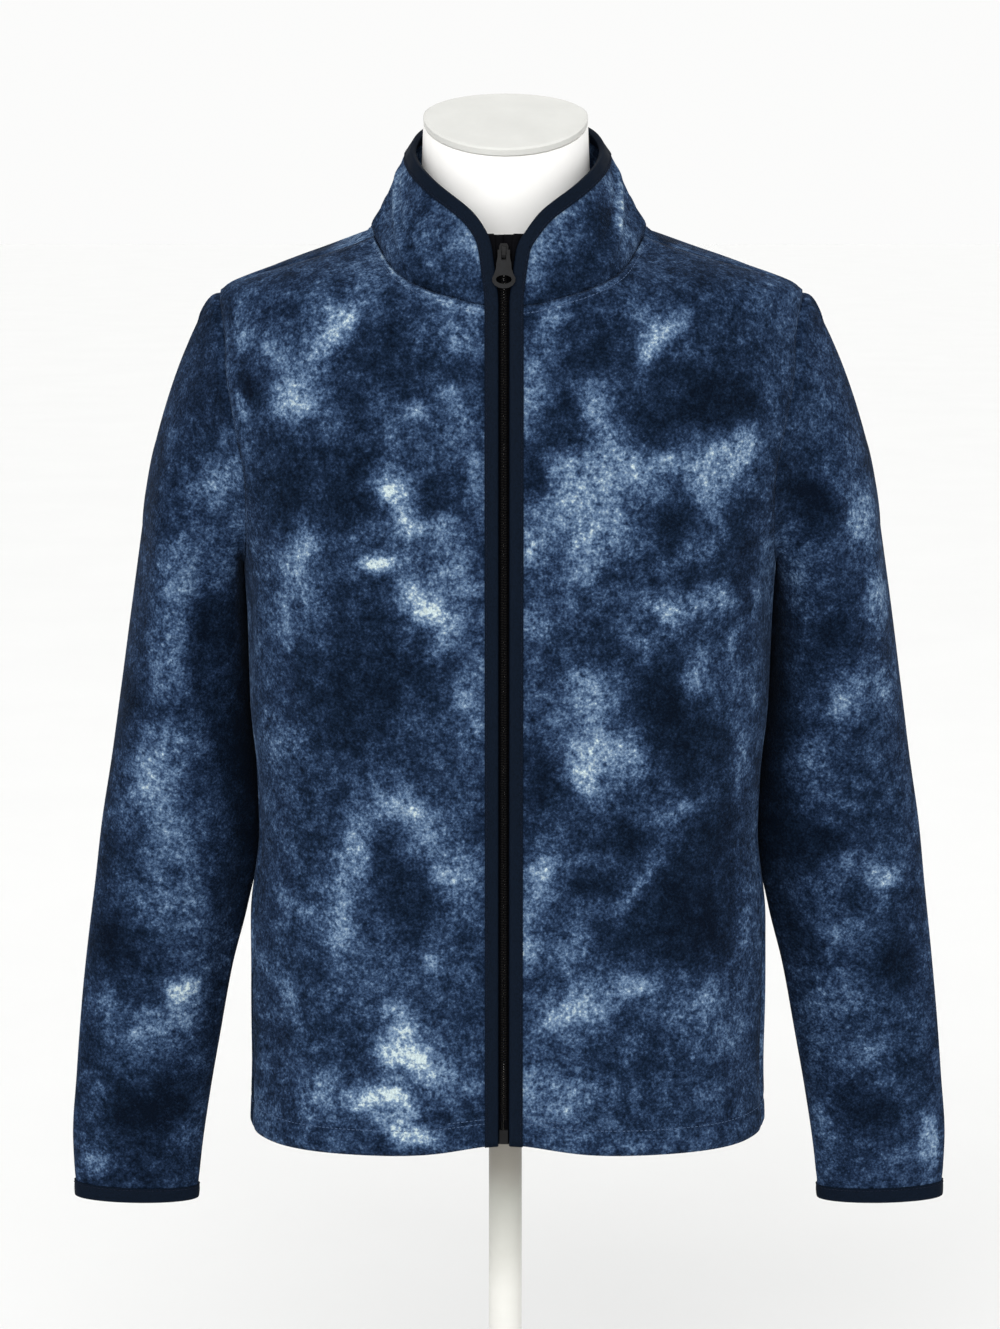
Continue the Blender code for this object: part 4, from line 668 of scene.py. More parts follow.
def panel_grid(front, side):
    """Points, normals and reach of a half panel, row by row from the hem up."""
    from_back = not front
    start = ZIP_X * side + ZIP_TO_CLOTH
    neck = ((start, FRONT_NECK[0][1]),) + FRONT_NECK[1:] if front else BACK_NECK
    top = [(reach_at_width(width, height, from_back), height)
           for width, height in even_samples(neck, NECK_CELLS)]
    levels = np.linspace(NECK_SIDE, TIP, SHOULDER_LEVELS)
    line = np.stack([width_at(levels), levels], axis=1)
    for height in resample(line, SHOULDER_CELLS)[1:, 1]:
        top.append((reach_at_depth(float(seam_depth_at(height)), height, from_back), height))
    top = np.array(top)
    inner, outer = [], []
    for height in np.linspace(HEM_HEIGHT, UNDERARM, SKIRT_CELLS + 1):
        inner.append((reach_at_width(start, height) if front else 0.0, height))
        outer.append((reach_at_depth(float(side_seam_at(height)), height, from_back), height))
    middle_top = FRONT_NECK_LOW if front else BACK_NECK_HIGH
    rows = armhole_half(front, ARMHOLE_CELLS)[1:]
    for number, (depth, height) in enumerate(rows, start=1):
        level = UNDERARM + (middle_top - UNDERARM) * number / len(rows)
        inner.append((reach_at_width(start, level) if front else 0.0, level))
        outer.append((reach_at_depth(depth, height, from_back), height))
    inner, outer = np.array(inner), np.array(outer)
    across = np.linspace(0.0, 1.0, len(top))[None, :, None]
    lift = top - (inner[-1] + (outer[-1] - inner[-1]) * across[0])
    share = np.maximum(0.0, (np.arange(len(inner)) - SKIRT_CELLS) / ARMHOLE_CELLS) ** 2.2
    flat = inner[:, None] * (1.0 - across) + outer[:, None] * across
    flat = flat + share[:, None, None] * lift[None]
    places = place_on_body(flat[..., 0], flat[..., 1], from_back)
    normals = body_normal(places)
    angle = body_angle(places)
    rise = fold_rise(BODY_FOLDS, side, places[..., 2], angle)
    small = fold_rise(SMALL_BODY_FOLDS, side, places[..., 2], angle)
    points = widen(places + normals * rise[..., None], side)
    return points, normals * mirror(side), small, flat


def pull_in(grid, edge):
    """Move one edge of a grid back into its piece to leave the seam's gap."""
    first, second = {"top": ((-1,), (-2,)), "low": ((0,), (1,)),
                     "outer": ((slice(None), -1), (slice(None), -2))}[edge]
    away = grid[second] - grid[first]
    grid[first] += 0.5 * SEAM_GAP * away / np.linalg.norm(away, axis=-1, keepdims=True)


def cloth_at(height):
    """Thickness of the cloth, which is folded double at the hem."""
    return np.where(height < HEM_TOP, HEM_FOLD, FLEECE)


def panel_faces(front, side):
    """Outer and inner face of a half panel, its flat places and the welt of its neck seam."""
    points, normals, small, flat = panel_grid(front, side)
    thickness = cloth_at(flat[:, :1, 1])
    inner = points - normals * thickness[..., None]
    for grid in (points, inner):
        pull_in(grid, "top")
        pull_in(grid, "outer")
    to_outer, to_top = run_from(points, "outer"), run_from(points, "top")
    calm = smooth_step(np.minimum(to_outer, to_top) / SEAM_CALM)
    outer = points + normals * (np.maximum(small * calm, -DEEPEST_SMALL_FOLD))[..., None]
    to_hem = run_from(points, "low")
    outer = roll_in(outer, normals, to_outer, SEAM_ROLL)
    outer = roll_in(outer, normals, to_top, NECK_ROLL)
    outer = roll_in(outer, normals, to_hem, HEM_ROLL)
    outer = roll_in(outer, normals, np.abs(to_hem - HEM_DEPTH), HEM_LINE_ROLL)
    inner = inner + normals * (1.0 * np.exp(-(to_hem / 2.4) ** 2))[..., None]
    neck = smooth_step((NECK_CELLS + 4.0 - np.arange(points.shape[1])) / 4.0)
    welt = neck * np.exp(-((to_top - WELT_PLACE) / WELT_WIDTH) ** 2)
    return outer + normals * (WELT_RISE * welt)[..., None], inner, flat, welt


for name, side in (("front_left_cloth", LEFT), ("front_right_cloth", RIGHT)):
    outer, inner, flat, welt = panel_faces(True, side)
    reach = flat[..., 0] * side
    tone = np.where(np.abs(reach) < FRONT_PRINT_REACH, front_tone(reach, flat[..., 1]),
                    tile_tone(reach, flat[..., 1]))
    # A painted highlight along the raised welt of the neck seam, uneven along it and stronger on the
    # wearer's right.
    uneven = 1.0 + 0.4 * np.sin(reach / 5.0 + np.sin(reach))
    tone = tone + welt * (WELT_HIGHLIGHT - WELT_HIGHLIGHT_TURN * side) * uneven
    cloth = np.stack([reach, flat[..., 1]], axis=-1)
    cloth_shell(name, outer, inner, tone, cloth)
halves = [panel_faces(False, side)[:3] for side in (LEFT, RIGHT)]
outer, inner, flat = (np.concatenate((left[:, ::-1], right[:, 1:]), axis=1)
                      for left, right in zip(*halves))
across = np.concatenate((halves[0][2][:, ::-1, 0], -halves[1][2][:, 1:, 0]), axis=1)
cloth = np.stack([across + BACK_PLACE, flat[..., 1]], axis=-1)
tone = tile_tone(across + BACK_PRINT_START[0], flat[..., 1] + BACK_PRINT_START[1])
tone = np.minimum(tone, np.where(outer[..., 2] > NECK_SIDE - NECK_TONE_REACH,
                                 NECK_TONE_MOST, BACK_TONE_MOST))
cloth_shell("back_cloth", outer, inner, tone, cloth)
print({name: len(piece.data.polygons) for name, piece in ALL_PIECES.items()})

# %% [markdown]
# ## Sleeves
#
# A set-in sleeve leaves the armhole square to its edge, swells a little over
# the crown, and then turns down along the arm. The rings run from the armhole
# to the cuff. At the armhole the cloth rolls in to its seam, and a faint row
# of puckers stands beside it, because the sleeve is eased in by hand.

# %% Sleeves
# height, inner and outer edge from the front, middle, half depth, lean
SLEEVE = (
    (795.0, 200.2, 281.5, 17.0, 60.0, 35.0), (740.0, 199.2, 292.0, 17.0, 56.0, 22.0),
    (690.0, 197.6, 300.5, 16.0, 50.0, 14.0), (640.0, 193.4, 308.5, 15.0, 44.0, 10.0),
    (590.0, 193.4, 317.0, 13.0, 38.0, 8.0), (540.0, 202.5, 323.0, 11.0, 32.0, 8.0),
    (490.0, 215.0, 329.5, 9.0, 28.0, 7.0), (440.0, 224.5, 335.0, 7.0, 25.0, 7.0),
    (390.0, 233.5, 339.5, 5.0, 22.0, 6.0), (340.0, 241.0, 343.5, 4.0, 19.0, 4.0),
    (297.5, 245.5, 342.0, 4.0, 17.0, 1.0),
)
# angle, how far it runs straight out of the armhole, and into its first ring
SLEEVE_PULL = ((0.0, 12.0, 60.0), (90.0, 55.0, 90.0), (180.0, 140.0, 150.0),
               (270.0, 55.0, 90.0), (360.0, 12.0, 60.0))
CROWN_STEPS = (0.0, 0.06, 0.13, 0.22, 0.34, 0.5, 0.72, 1.0)
CROWN_SWELL, CUFF_HEIGHT, CUFF_HEM, BODY_CLEARANCE = 9.2, 297.5, 307.0, 0.9
ARM_MM_EACH_DEGREE, PATCH_SPREAD, SLEEVE_DULL = 0.9, 1.5, {RIGHT: 0.13, LEFT: 0.07}
SLEEVE_PRINT_START, FRONT_ANGLE = (60.0, 120.0), 90.0
CLEAR_BELOW, CLEAR_FADE, CUFF_LINE, DEEPEST_SLEEVE_FOLD = 798.0, 15.0, 13.0, 0.9
PUCKER_RISE, PUCKER_PLACE, PUCKER_WIDTH, PUCKERS = 0.35, 9.0, 6.0, 34.0
inner_at, outer_at, middle_at, half_depth_at, lean_at = curves_of(SLEEVE[::-1])
pull_out_at, pull_down_at = curves_of(SLEEVE_PULL)
RING_CELLS, CROWN_CELLS, ARM_CELLS = 2 * ARMHOLE_CELLS, 44, 92


def sleeve_point(height, angle):
    """Points of a sleeve ring: angle 0 faces the body and 90 the front."""
    half = (outer_at(height) - inner_at(height)) / 2
    centre = (outer_at(height) + inner_at(height)) / 2
    turn = np.radians(angle)
    return np.stack([centre - half * np.cos(turn),
                     middle_at(height) - half_depth_at(height) * np.sin(turn),
                     height - lean_at(height) * np.cos(turn)], axis=-1)


def clear_of_body(points):
    """Sleeve points moved out where they would reach into the body's side."""
    x, y, z = points[..., 0], points[..., 1], points[..., 2]
    depth = np.where(y < 0.0, front_at(z), back_at(z))
    share = np.clip(np.abs(y) / depth, 0.0, 1.0)
    side = width_at(z) * (1.0 - share ** square_at(z)) ** (1.0 / square_at(z))
    least = side + BODY_CLEARANCE * np.clip((CLEAR_BELOW - z) / CLEAR_FADE, 0.0, 1.0)
    return np.stack([np.where(z < CLEAR_BELOW, np.maximum(x, least), x), y, z], axis=-1)


def armhole_ring(cells):
    points = np.array([place_on_body(reach_at_depth(depth, height), height)
                       for depth, height in armhole_points(cells)])
    normals = body_normal(points)
    along = np.roll(points, -1, axis=0) - np.roll(points, 1, axis=0)
    out = unit(np.cross(along, normals))
    out *= np.sign(np.sum(out * (points.mean(axis=0) - points), axis=1, keepdims=True))
    return points, normals, out


def sleeve_grid():
    """Rings of a sleeve without folds, their angles and the crown's shares."""
    start, normals, out = armhole_ring(ARMHOLE_CELLS)
    start = start + out * SEAM_GAP / 2
    angles = np.arange(RING_CELLS) * 360.0 / RING_CELLS
    top = SLEEVE[0][0]
    end = sleeve_point(np.full(RING_CELLS, top), angles)
    down = sleeve_point(np.full(RING_CELLS, top - 4.0), angles) - end
    down *= (pull_down_at(angles) / np.linalg.norm(down, axis=1))[:, None]
    lead = out * pull_out_at(angles)[:, None]
    shares = np.linspace(0.0, 1.0, CROWN_CELLS + 1) ** 1.25
    rows = []
    for share in shares:
        blend = ease(share)
        rows.append(start * (1.0 - blend) + end * blend + lead * share * (1.0 - share) ** 2
                    + down * share * share * (share - 1.0))
    arm = np.linspace(top, CUFF_HEIGHT, ARM_CELLS + 1)[1:]
    for height in arm:
        rows.append(sleeve_point(np.full(RING_CELLS, height), angles))
    return np.array(rows), normals, angles, np.concatenate((shares, np.full(len(arm), 1.0)))


def sleeve_faces(side):
    rows, first_normals, angles, shares = sleeve_grid()
    normals = grid_normals(rows, closed=True)
    normals[0] = first_normals
    step = np.interp(shares, CROWN_STEPS, np.arange(len(CROWN_STEPS)))
    step[shares >= 1.0] = len(CROWN_STEPS)
    calm = smooth_step((step - 1.0) / 4.0)[:, None]
    heights, round_arm = rows[..., 2], np.broadcast_to(angles, rows.shape[:2])
    rise = calm * fold_rise(SLEEVE_FOLDS, side, heights, round_arm)
    outward = np.maximum(0.0, -np.cos(np.radians(angles))) ** 1.5
    rise = rise + CROWN_SWELL * outward * np.sin(math.pi * shares[:, None] ** 0.6)
    base = clear_of_body(rows + normals * rise[..., None])
    facing = normals * mirror(side)
    outer = widen(base, side)
    inner = outer - facing * FLEECE
    small = fold_rise(SMALL_SLEEVE_FOLDS, side, heights, round_arm)
    out_of_seam, to_cuff = run_from(outer, "low"), run_from(outer, "top")
    crown = np.exp(-((out_of_seam - PUCKER_PLACE) / PUCKER_WIDTH) ** 2) * outward
    waves = np.sin(np.radians(angles) * PUCKERS + 2.0 * np.sin(angles * 0.11))
    pucker = PUCKER_RISE * crown * waves
    outer = outer + facing * (np.maximum(small * calm, -DEEPEST_SLEEVE_FOLD) + pucker)[..., None]
    outer = roll_in(outer, facing, out_of_seam, SEAM_ROLL)
    outer = roll_in(outer, facing, np.abs(to_cuff - CUFF_LINE), CUFF_LINE_ROLL)
    return outer, inner, heights, round_arm


for name, side in (("sleeve_left_cloth", LEFT), ("sleeve_right_cloth", RIGHT)):
    outer, inner, heights, round_arm = sleeve_faces(side)
    reach = (round_arm - FRONT_ANGLE) * ARM_MM_EACH_DEGREE
    patches = [(angle, height, wide * PATCH_SPREAD, tall, 0.0, strength)
               for angle, height, wide, tall, strength in SLEEVE_PRINT_AND_SHADE[side]]
    tone = patches_tone(patches, lambda u: wrapped(round_arm - u, 360.0) * ARM_MM_EACH_DEGREE,
                        lambda v: heights - v)
    hidden = smooth_step((np.abs(wrapped(round_arm - FRONT_ANGLE, 360.0)) - 80.0) / 30.0)
    tone = tone * (1.0 - hidden) + hidden * tile_tone(
        reach + SLEEVE_PRINT_START[0] * side, heights + SLEEVE_PRINT_START[1])
    tone -= SLEEVE_DULL[side]
    cloth = np.stack([reach + SLEEVE_PLACE + SLEEVE_APART * side, heights], axis=-1)
    cloth_shell(name, outer, inner, tone, cloth, closed=True)
print({name: len(piece.data.polygons) for name, piece in ALL_PIECES.items()})

# %% [markdown]
# ## Collar
#
# The stand-up collar is one wrapped strip. Soft folds slant from each side of
# the neck in towards the zip, where the strip is eased round the corner, and
# fainter ones stand all round. Its top edge is covered by the binding.

# %% Collar
# angle round the neck and height of the top edge
COLLAR_TOP = ((3.0, 1043.0), (10.0, 1049.8), (14.0, 1056.5), (20.0, 1066.0), (30.0, 1075.0),
              (42.0, 1083.5), (60.0, 1095.5), (90.0, 1112.0), (125.0, 1128.0), (155.0, 1135.0),
              (180.0, 1137.0))
COLLAR_HALF_WIDTH, COLLAR_FRONT, COLLAR_BACK, COLLAR_BULGE = 71.0, 84.0, 66.0, 2.6
COLLAR_FLARE, FLARE_AT, COLLAR_LEAN = 5.0, 0.14, 68.0
EDGE_LEAN, EDGE_LEAN_END, EDGE_LEAN_AT_TOP, EDGE_LEAN_WIDTH = 3.4, 0.8, 4.4, 12.0
# The second is painted light: lighter tone on the collar's fold ridges, darker in its hollows.
NECK_MM_EACH_DEGREE, FOLD_PAINTED_LIGHT = 1.3, 0.085
# angle round the neck, spread in degrees and rise
COLLAR_FOLDS = ((-56.0, 4.2, 3.0), (-40.0, 4.2, 1.6), (55.0, 4.6, 3.5), (44.0, 4.2, -1.8))
SMALL_COLLAR_FOLDS = ((-52.0, 4.0, -0.7), (-84.0, 7.0, 0.9), (38.0, 5.0, 0.6), (82.0, 7.0, 0.8),
                      (-118.0, 9.0, -0.8), (112.0, 9.0, 0.9), (150.0, 8.0, -0.7), (-156.0, 8.0, 0.7))
BINDING_WIDTH, BINDING_CLOTH, BINDING_GAP = 8.6, 1.0, 0.42
COLLAR_CELLS, COLLAR_ROWS = 42, 26
collar_height_at, = curves_of(COLLAR_TOP)


def neck_seam(cells):
    """Seam round the neck, its normals, its way up and its angles."""
    seam, normals, ups, angles = [], [], [], []
    for side in (RIGHT, LEFT):
        start = ZIP_X * side + ZIP_TO_CLOTH
        front = even_samples(((start, FRONT_NECK[0][1]),) + FRONT_NECK[1:], cells)
        back = even_samples(BACK_NECK, cells)[::-1][1:]
        half = [place_on_body(reach_at_width(w, h), h) for w, h in front]
        half += [place_on_body(reach_at_width(w, h, True), h, True) for w, h in back]
        half = np.array(half)
        facing = body_normal(half)
        away = unit(np.cross(np.gradient(half, axis=0), facing))
        away *= np.where(away[:, 2:] < 0, -1.0, 1.0)
        turn = np.degrees(np.arctan2(np.abs(half[:, 0]) / 100.0, -half[:, 1] / 85.0)) * side
        parts = [widen(half, side), facing * mirror(side), away * mirror(side), turn]
        if side == LEFT:
            parts = [part[::-1][1:] for part in parts]
        for store, part in zip((seam, normals, ups, angles), parts):
            store.extend(part)
    return np.array(seam), np.array(normals), np.array(ups), np.array(angles)


def front_edge_lean(share):
    """How far the collar's front edge stands back from the zip's straight line."""
    top = EDGE_LEAN_AT_TOP * np.clip(share, 0.0, 1.0) ** 6
    return EDGE_LEAN * smooth_step(share / EDGE_LEAN_END) + top


def collar_edge(count_half):
    edge = []
    for side in (RIGHT, LEFT):
        half_width = COLLAR_HALF_WIDTH * (1.0 + side * SIDE_SHARE[-1][1])
        start = abs(ZIP_X + side * (ZIP_TO_CLOTH + front_edge_lean(1.0)))
        first = math.degrees(math.asin(start / half_width))
        angle = first + (180.0 - first) * np.linspace(0.0, 1.0, 321)
        turn = np.radians(angle)
        half = np.stack([side * half_width * np.sin(turn),
                         (COLLAR_BACK - COLLAR_FRONT) / 2
                         - (COLLAR_BACK + COLLAR_FRONT) / 2 * np.cos(turn),
                         collar_height_at(angle)], axis=1)
        half = resample(half, count_half)
        edge.extend(half if side == RIGHT else half[::-1][1:])
    return np.array(edge)


SEAM, SEAM_NORMALS, SEAM_UPS, SEAM_ANGLES = neck_seam(COLLAR_CELLS)
EDGE = collar_edge(2 * COLLAR_CELLS)


def collar_ridges(share):
    """Folds that run from the side of the collar's top in towards the zip."""
    angles = SEAM_ANGLES - np.sign(SEAM_ANGLES) * COLLAR_LEAN * (share - 0.4)
    return sum(rise * np.exp(-((angles - middle) / spread) ** 2)
               for middle, spread, rise in COLLAR_FOLDS)


def collar_row(share):
    start = SEAM + SEAM_UPS * SEAM_GAP / 2
    outward = unit(SEAM * np.array([1.0, 1.0, 0.0]))
    sideways = np.abs(np.sin(np.radians(SEAM_ANGLES)))
    swell = COLLAR_BULGE * math.sin(math.pi * share ** 1.8) * sideways
    flare = share / FLARE_AT * math.exp(1.0 - share / FLARE_AT)
    swell += COLLAR_FLARE * flare ** 2 * sideways ** 3
    ridge = collar_ridges(share) * max(0.0, math.sin(math.pi * share)) ** 0.8 * (1.3 - share)
    row = start * (1.0 - share) + EDGE * share + outward * (swell + ridge)[:, None]
    curve = front_edge_lean(share) - front_edge_lean(1.0) * share
    run = run_along(SEAM)
    row[:, 0] -= curve * np.exp(-(run / EDGE_LEAN_WIDTH) ** 2)
    row[:, 0] += curve * np.exp(-((run[-1] - run) / EDGE_LEAN_WIDTH) ** 2)
    return row


collar_shares = np.linspace(0.0, 1.0, COLLAR_ROWS)
COLLAR = np.array([collar_row(share) for share in collar_shares])
COLLAR_NORMALS = grid_normals(COLLAR, hint=(0.0, -5.0, 0.0))
blend = np.exp(-(collar_shares / 0.12) ** 2)[:, None, None]
COLLAR_NORMALS = unit(COLLAR_NORMALS * (1.0 - blend) + SEAM_NORMALS[None] * blend)
ridges = sum(rise * np.exp(-((SEAM_ANGLES - middle) / spread) ** 2)
             for middle, spread, rise in SMALL_COLLAR_FOLDS)
small = ridges[None] * np.sin(math.pi * np.clip(collar_shares, 0.0, 1.0))[:, None] ** 2
outer = COLLAR + COLLAR_NORMALS * small[..., None]
outer = roll_in(outer, COLLAR_NORMALS, run_from(COLLAR, "low"), NECK_ROLL)
tone = np.zeros(outer.shape[:2])
for angle, share, wide, tall, strength in COLLAR_PATCHES:
    tone += strength * soft_patch(SEAM_ANGLES[None] - angle, collar_shares[:, None] - share,
                                  wide, tall)
# Painted light and shade on the collar's folds: lighter on each ridge, darker in each hollow.
fold_light = np.array([collar_ridges(share) for share in collar_shares])
tone += FOLD_PAINTED_LIGHT * fold_light * np.sin(math.pi * collar_shares[:, None]) ** 0.8
round_neck = np.broadcast_to(SEAM_ANGLES * NECK_MM_EACH_DEGREE + COLLAR_PLACE, tone.shape)
cloth = np.stack([round_neck, COLLAR[..., 2]], axis=-1)
cloth_shell("collar_cloth", outer, COLLAR - COLLAR_NORMALS * FLEECE, tone, cloth)
print("collar rows", COLLAR.shape)

# %% [markdown]
# ## Binding on the raw edges
#
# A smooth woven strip is folded over the raw edge of the fronts and the
# collar, and another over each cuff. Its section is a thin rounded channel
# with the cloth inside it. One long sweep follows the zip's edge up, goes
# round the collar and comes down the other side.

# %% Binding
SMOOTH_STEPS = 3


def channel(edge, edge_normal, leaf, leaf_normal, cloth, full=0.0):
    """Sections of a folded binding; edge is its fold, leaf its stitched side."""
    inward = unit(leaf - edge)
    gap, skin = BINDING_GAP, BINDING_CLOTH
    fold = edge - inward * (gap + skin)
    soft = edge - inward * (gap + 0.35 * skin)
    shoulder = edge + inward * 2.2
    middle = (edge + leaf) / 2
    middle_normal = (edge_normal + leaf_normal) / 2
    rise = (gap + 0.95 * skin + full)[..., None]
    outside = (
        leaf + leaf_normal * (gap + 0.25 * skin), leaf + leaf_normal * (gap + 0.8 * skin),
        leaf + inward * -1.2 + leaf_normal * (gap + 0.62 * skin),
        middle + middle_normal * rise, shoulder + edge_normal * rise,
        soft + edge_normal * (gap + 0.72 * skin), fold - edge_normal * 0.25 * cloth,
        fold - edge_normal * 0.75 * cloth, soft - edge_normal * (cloth + gap + 0.7 * skin),
        middle - middle_normal * (cloth + gap + skin), leaf - leaf_normal * (cloth + gap + skin))
    outside = np.stack(outside, axis=-2)
    fine = []
    count = outside.shape[-2]
    for index in range(count - 1):
        near = [outside[..., min(max(index + k, 0), count - 1), :] for k in (-1, 0, 1, 2)]
        fine += [between(*near, t) for t in np.arange(SMOOTH_STEPS) / SMOOTH_STEPS]
    fine.append(outside[..., -1, :])
    inside = (leaf - leaf_normal * (cloth + gap), edge - inward * gap - edge_normal * (cloth + gap),
              edge - inward * gap + edge_normal * gap, leaf + leaf_normal * gap)
    return np.concatenate((np.stack(fine, axis=-2), np.stack(inside, axis=-2)), axis=-2)


def sweep(name, sections, closed=False):
    """Solid through a row of sections with equal numbers of points."""
    stations, count = sections.shape[:2]
    station, index = np.meshgrid(np.arange(stations if closed else stations - 1),
                                 np.arange(count), indexing="ij")
    after, across = (station + 1) % stations, (index + 1) % count
    faces = np.stack([(station * count + index).ravel(), (station * count + across).ravel(),
                      (after * count + across).ravel(), (after * count + index).ravel()], axis=1)
    faces = faces.tolist()
    if not closed:
        faces += [list(range(count))[::-1], list(range((stations - 1) * count, stations * count))]
    points = sections.reshape(-1, 3)
    corners = points[np.array(faces[:stations * count // 2])]
    face_normals = np.cross(corners[:, 1] - corners[:, 0], corners[:, 3] - corners[:, 0])
    middle = np.repeat(sections.mean(axis=1), count, axis=0)[:len(corners)]
    if np.sum(face_normals * (corners.mean(axis=1) - middle)) < 0:
        faces = [face[::-1] for face in faces]
    return make_mesh(name, points, faces)


def front_binding_line(side, levels):
    """Edge and leaf lines of the binding up one front, with their normals."""
    start = ZIP_X * side + ZIP_TO_CLOTH
    lines = []
    for reach in (start, start + BINDING_WIDTH):
        reaches = np.array([reach_at_width(reach, level) for level in levels])
        places = place_on_body(reaches, levels)
        lines += [widen(places, side), body_normal(places) * mirror(side)]
    return lines


front_levels = np.linspace(HEM_HEIGHT, FRONT_NECK_LOW - 1.0, 150)
fronts = {}
for side in (RIGHT, LEFT):
    lines = front_binding_line(side, front_levels)
    fronts[side] = lines + [cloth_at(front_levels)[:, None]]


def on_collar(points):
    """Points moved onto the collar's face, and the way it faces there."""
    grid, facing = COLLAR.reshape(-1, 3), COLLAR_NORMALS.reshape(-1, 3)
    apart = np.linalg.norm(grid[None] - points[:, None], axis=2)
    weight = np.exp(-(apart / 2.2) ** 2) + 1e-12
    weight /= weight.sum(axis=1, keepdims=True)
    near, normal = weight @ grid, unit(weight @ facing)
    return points - normal * np.sum((points - near) * normal, axis=1, keepdims=True), normal


def collar_binding_line():
    """Up the collar's right end, over its top and down again."""
    edge = np.concatenate((COLLAR[1:, 0], EDGE[1:-1], COLLAR[:0:-1, -1]))
    for _ in range(6):
        edge[1:-1] = (edge[:-2] + 2.0 * edge[1:-1] + edge[2:]) / 4.0
    edge = resample(edge, 2 * COLLAR_ROWS + 168)
    normal = on_collar(edge)[1]
    inward = np.cross(normal, np.gradient(edge, axis=0))
    inward *= -np.sign(inward[len(edge) // 2, 2]) / np.linalg.norm(inward, axis=1, keepdims=True)
    leaf, leaf_normal = on_collar(edge + inward * BINDING_WIDTH)
    return edge, normal, leaf, leaf_normal


edges, edge_normals, leaves, leaf_normals = collar_binding_line()
line = [np.concatenate((fronts[RIGHT][k], part, fronts[LEFT][k][::-1]))
        for k, part in enumerate((edges, edge_normals, leaves, leaf_normals,
                                  np.full((len(edges), 1), FLEECE)))]
BIND_EDGE, BIND_NORMAL, BIND_LEAF, BIND_LEAF_NORMAL, BIND_CLOTH = line
swell = 0.12 * np.sin(np.arange(len(BIND_EDGE)) * 0.9)
sweep("edge_binding_cloth", channel(BIND_EDGE, BIND_NORMAL, BIND_LEAF, BIND_LEAF_NORMAL,
                                    BIND_CLOTH, swell))
CUFFS = {}
for name, side in (("cuff_binding_left_cloth", LEFT), ("cuff_binding_right_cloth", RIGHT)):
    outer, inner, heights, round_arm = sleeve_faces(side)
    leaf_row = int(np.argmin(np.abs(heights[:, 0] - CUFF_HEM)))
    lines = []
    for row in (-1, leaf_row):
        lines += [outer[row], unit(outer[row] - inner[row])]
    CUFFS[side] = lines
    swell = 0.1 * np.sin(np.arange(RING_CELLS) * 0.7)
    sweep(name, channel(*lines, FLEECE, swell), closed=True)
print("edge binding stations", len(BIND_EDGE))

# %% [markdown]
# ## Zip
#
# Each tape is a narrow woven strip with a cord under its coil. The coil is a
# nylon spiral, so each of its turns shows as a small rounded tooth. The turns
# of the two sides sit between each other all the way up to the slider.

# %% Zip tapes and teeth
TAPE_CLOTH, TAPE_HALF_WIDTH, TAPE_GAP, TAPE_SPREAD = 0.9, 12.5, 0.35, 4.1
COIL_HALF_WIDTH, COIL_RISE, COIL_RISE_AT_HEM, COIL_RISE_OPENED = 2.6, 2.2, 0.6, 0.12
SLIDER_TOP, SLIDER_LENGTH = 1045.5, 13.5
PIN_SHIFT, PIN_HEIGHT, TAPE_SINK = 0.62, 40.0, 1.6
SLIDER_LOW = SLIDER_TOP - SLIDER_LENGTH
TOOTH_PITCH, TOOTH_RADIUS, TOOTH_LEAN = 1.9, 0.52, 0.1
FIRST_TOOTH = {LEFT: 21.5, RIGHT: 27.95}
TAPE_END_INNER, TAPE_END_BEHIND = {LEFT: 0.0, RIGHT: -1.2}, {LEFT: 0.35, RIGHT: 1.35}
TAPE_END_WIDTH, TAPE_END_CLOTH = 5.0, 0.8
# steps sideways from the zip and out of the tape
TOOTH_ARC = ((-0.3, 1.15), (0.25, 1.5), (1.2, 1.62), (2.1, 1.3), (2.75, 0.5))


def zip_line(height):
    """Point on the cloth's face at the zip, and the way it faces."""
    if height <= FRONT_NECK_LOW:
        place = place_on_body(reach_at_width(abs(ZIP_X), height), height)
        return (np.array([ZIP_X, place[1], place[2]]),
                body_normal(place) * np.array([0.0, 1.0, 1.0]))
    low, high = SEAM[0], EDGE[0]
    share, rise = (height - low[2]) / (high[2] - low[2]), high - low
    facing = np.array([0.0, -rise[2], rise[1]]) / math.hypot(rise[1], rise[2])
    return np.array([ZIP_X, low[1] + rise[1] * share, height]), facing


def tape_level(height):
    """How far behind the cloth's face the tape's front lies."""
    return float(cloth_at(height)) + BINDING_GAP + BINDING_CLOTH + SEAM_GAP


def coil_rise(height):
    return COIL_RISE if height > HEM_TOP else COIL_RISE_AT_HEM


def tape_lean(height):
    """How far the collar's front edge has moved out at a height."""
    return float(front_edge_lean((height - SEAM[0][2]) / (EDGE[0][2] - SEAM[0][2])))


def from_zip(place, facing, side, profile):
    """Places at given steps sideways from the zip and out of the cloth."""
    return [place + np.array([side * x, 0.0, 0.0]) + facing * n for x, n in profile]


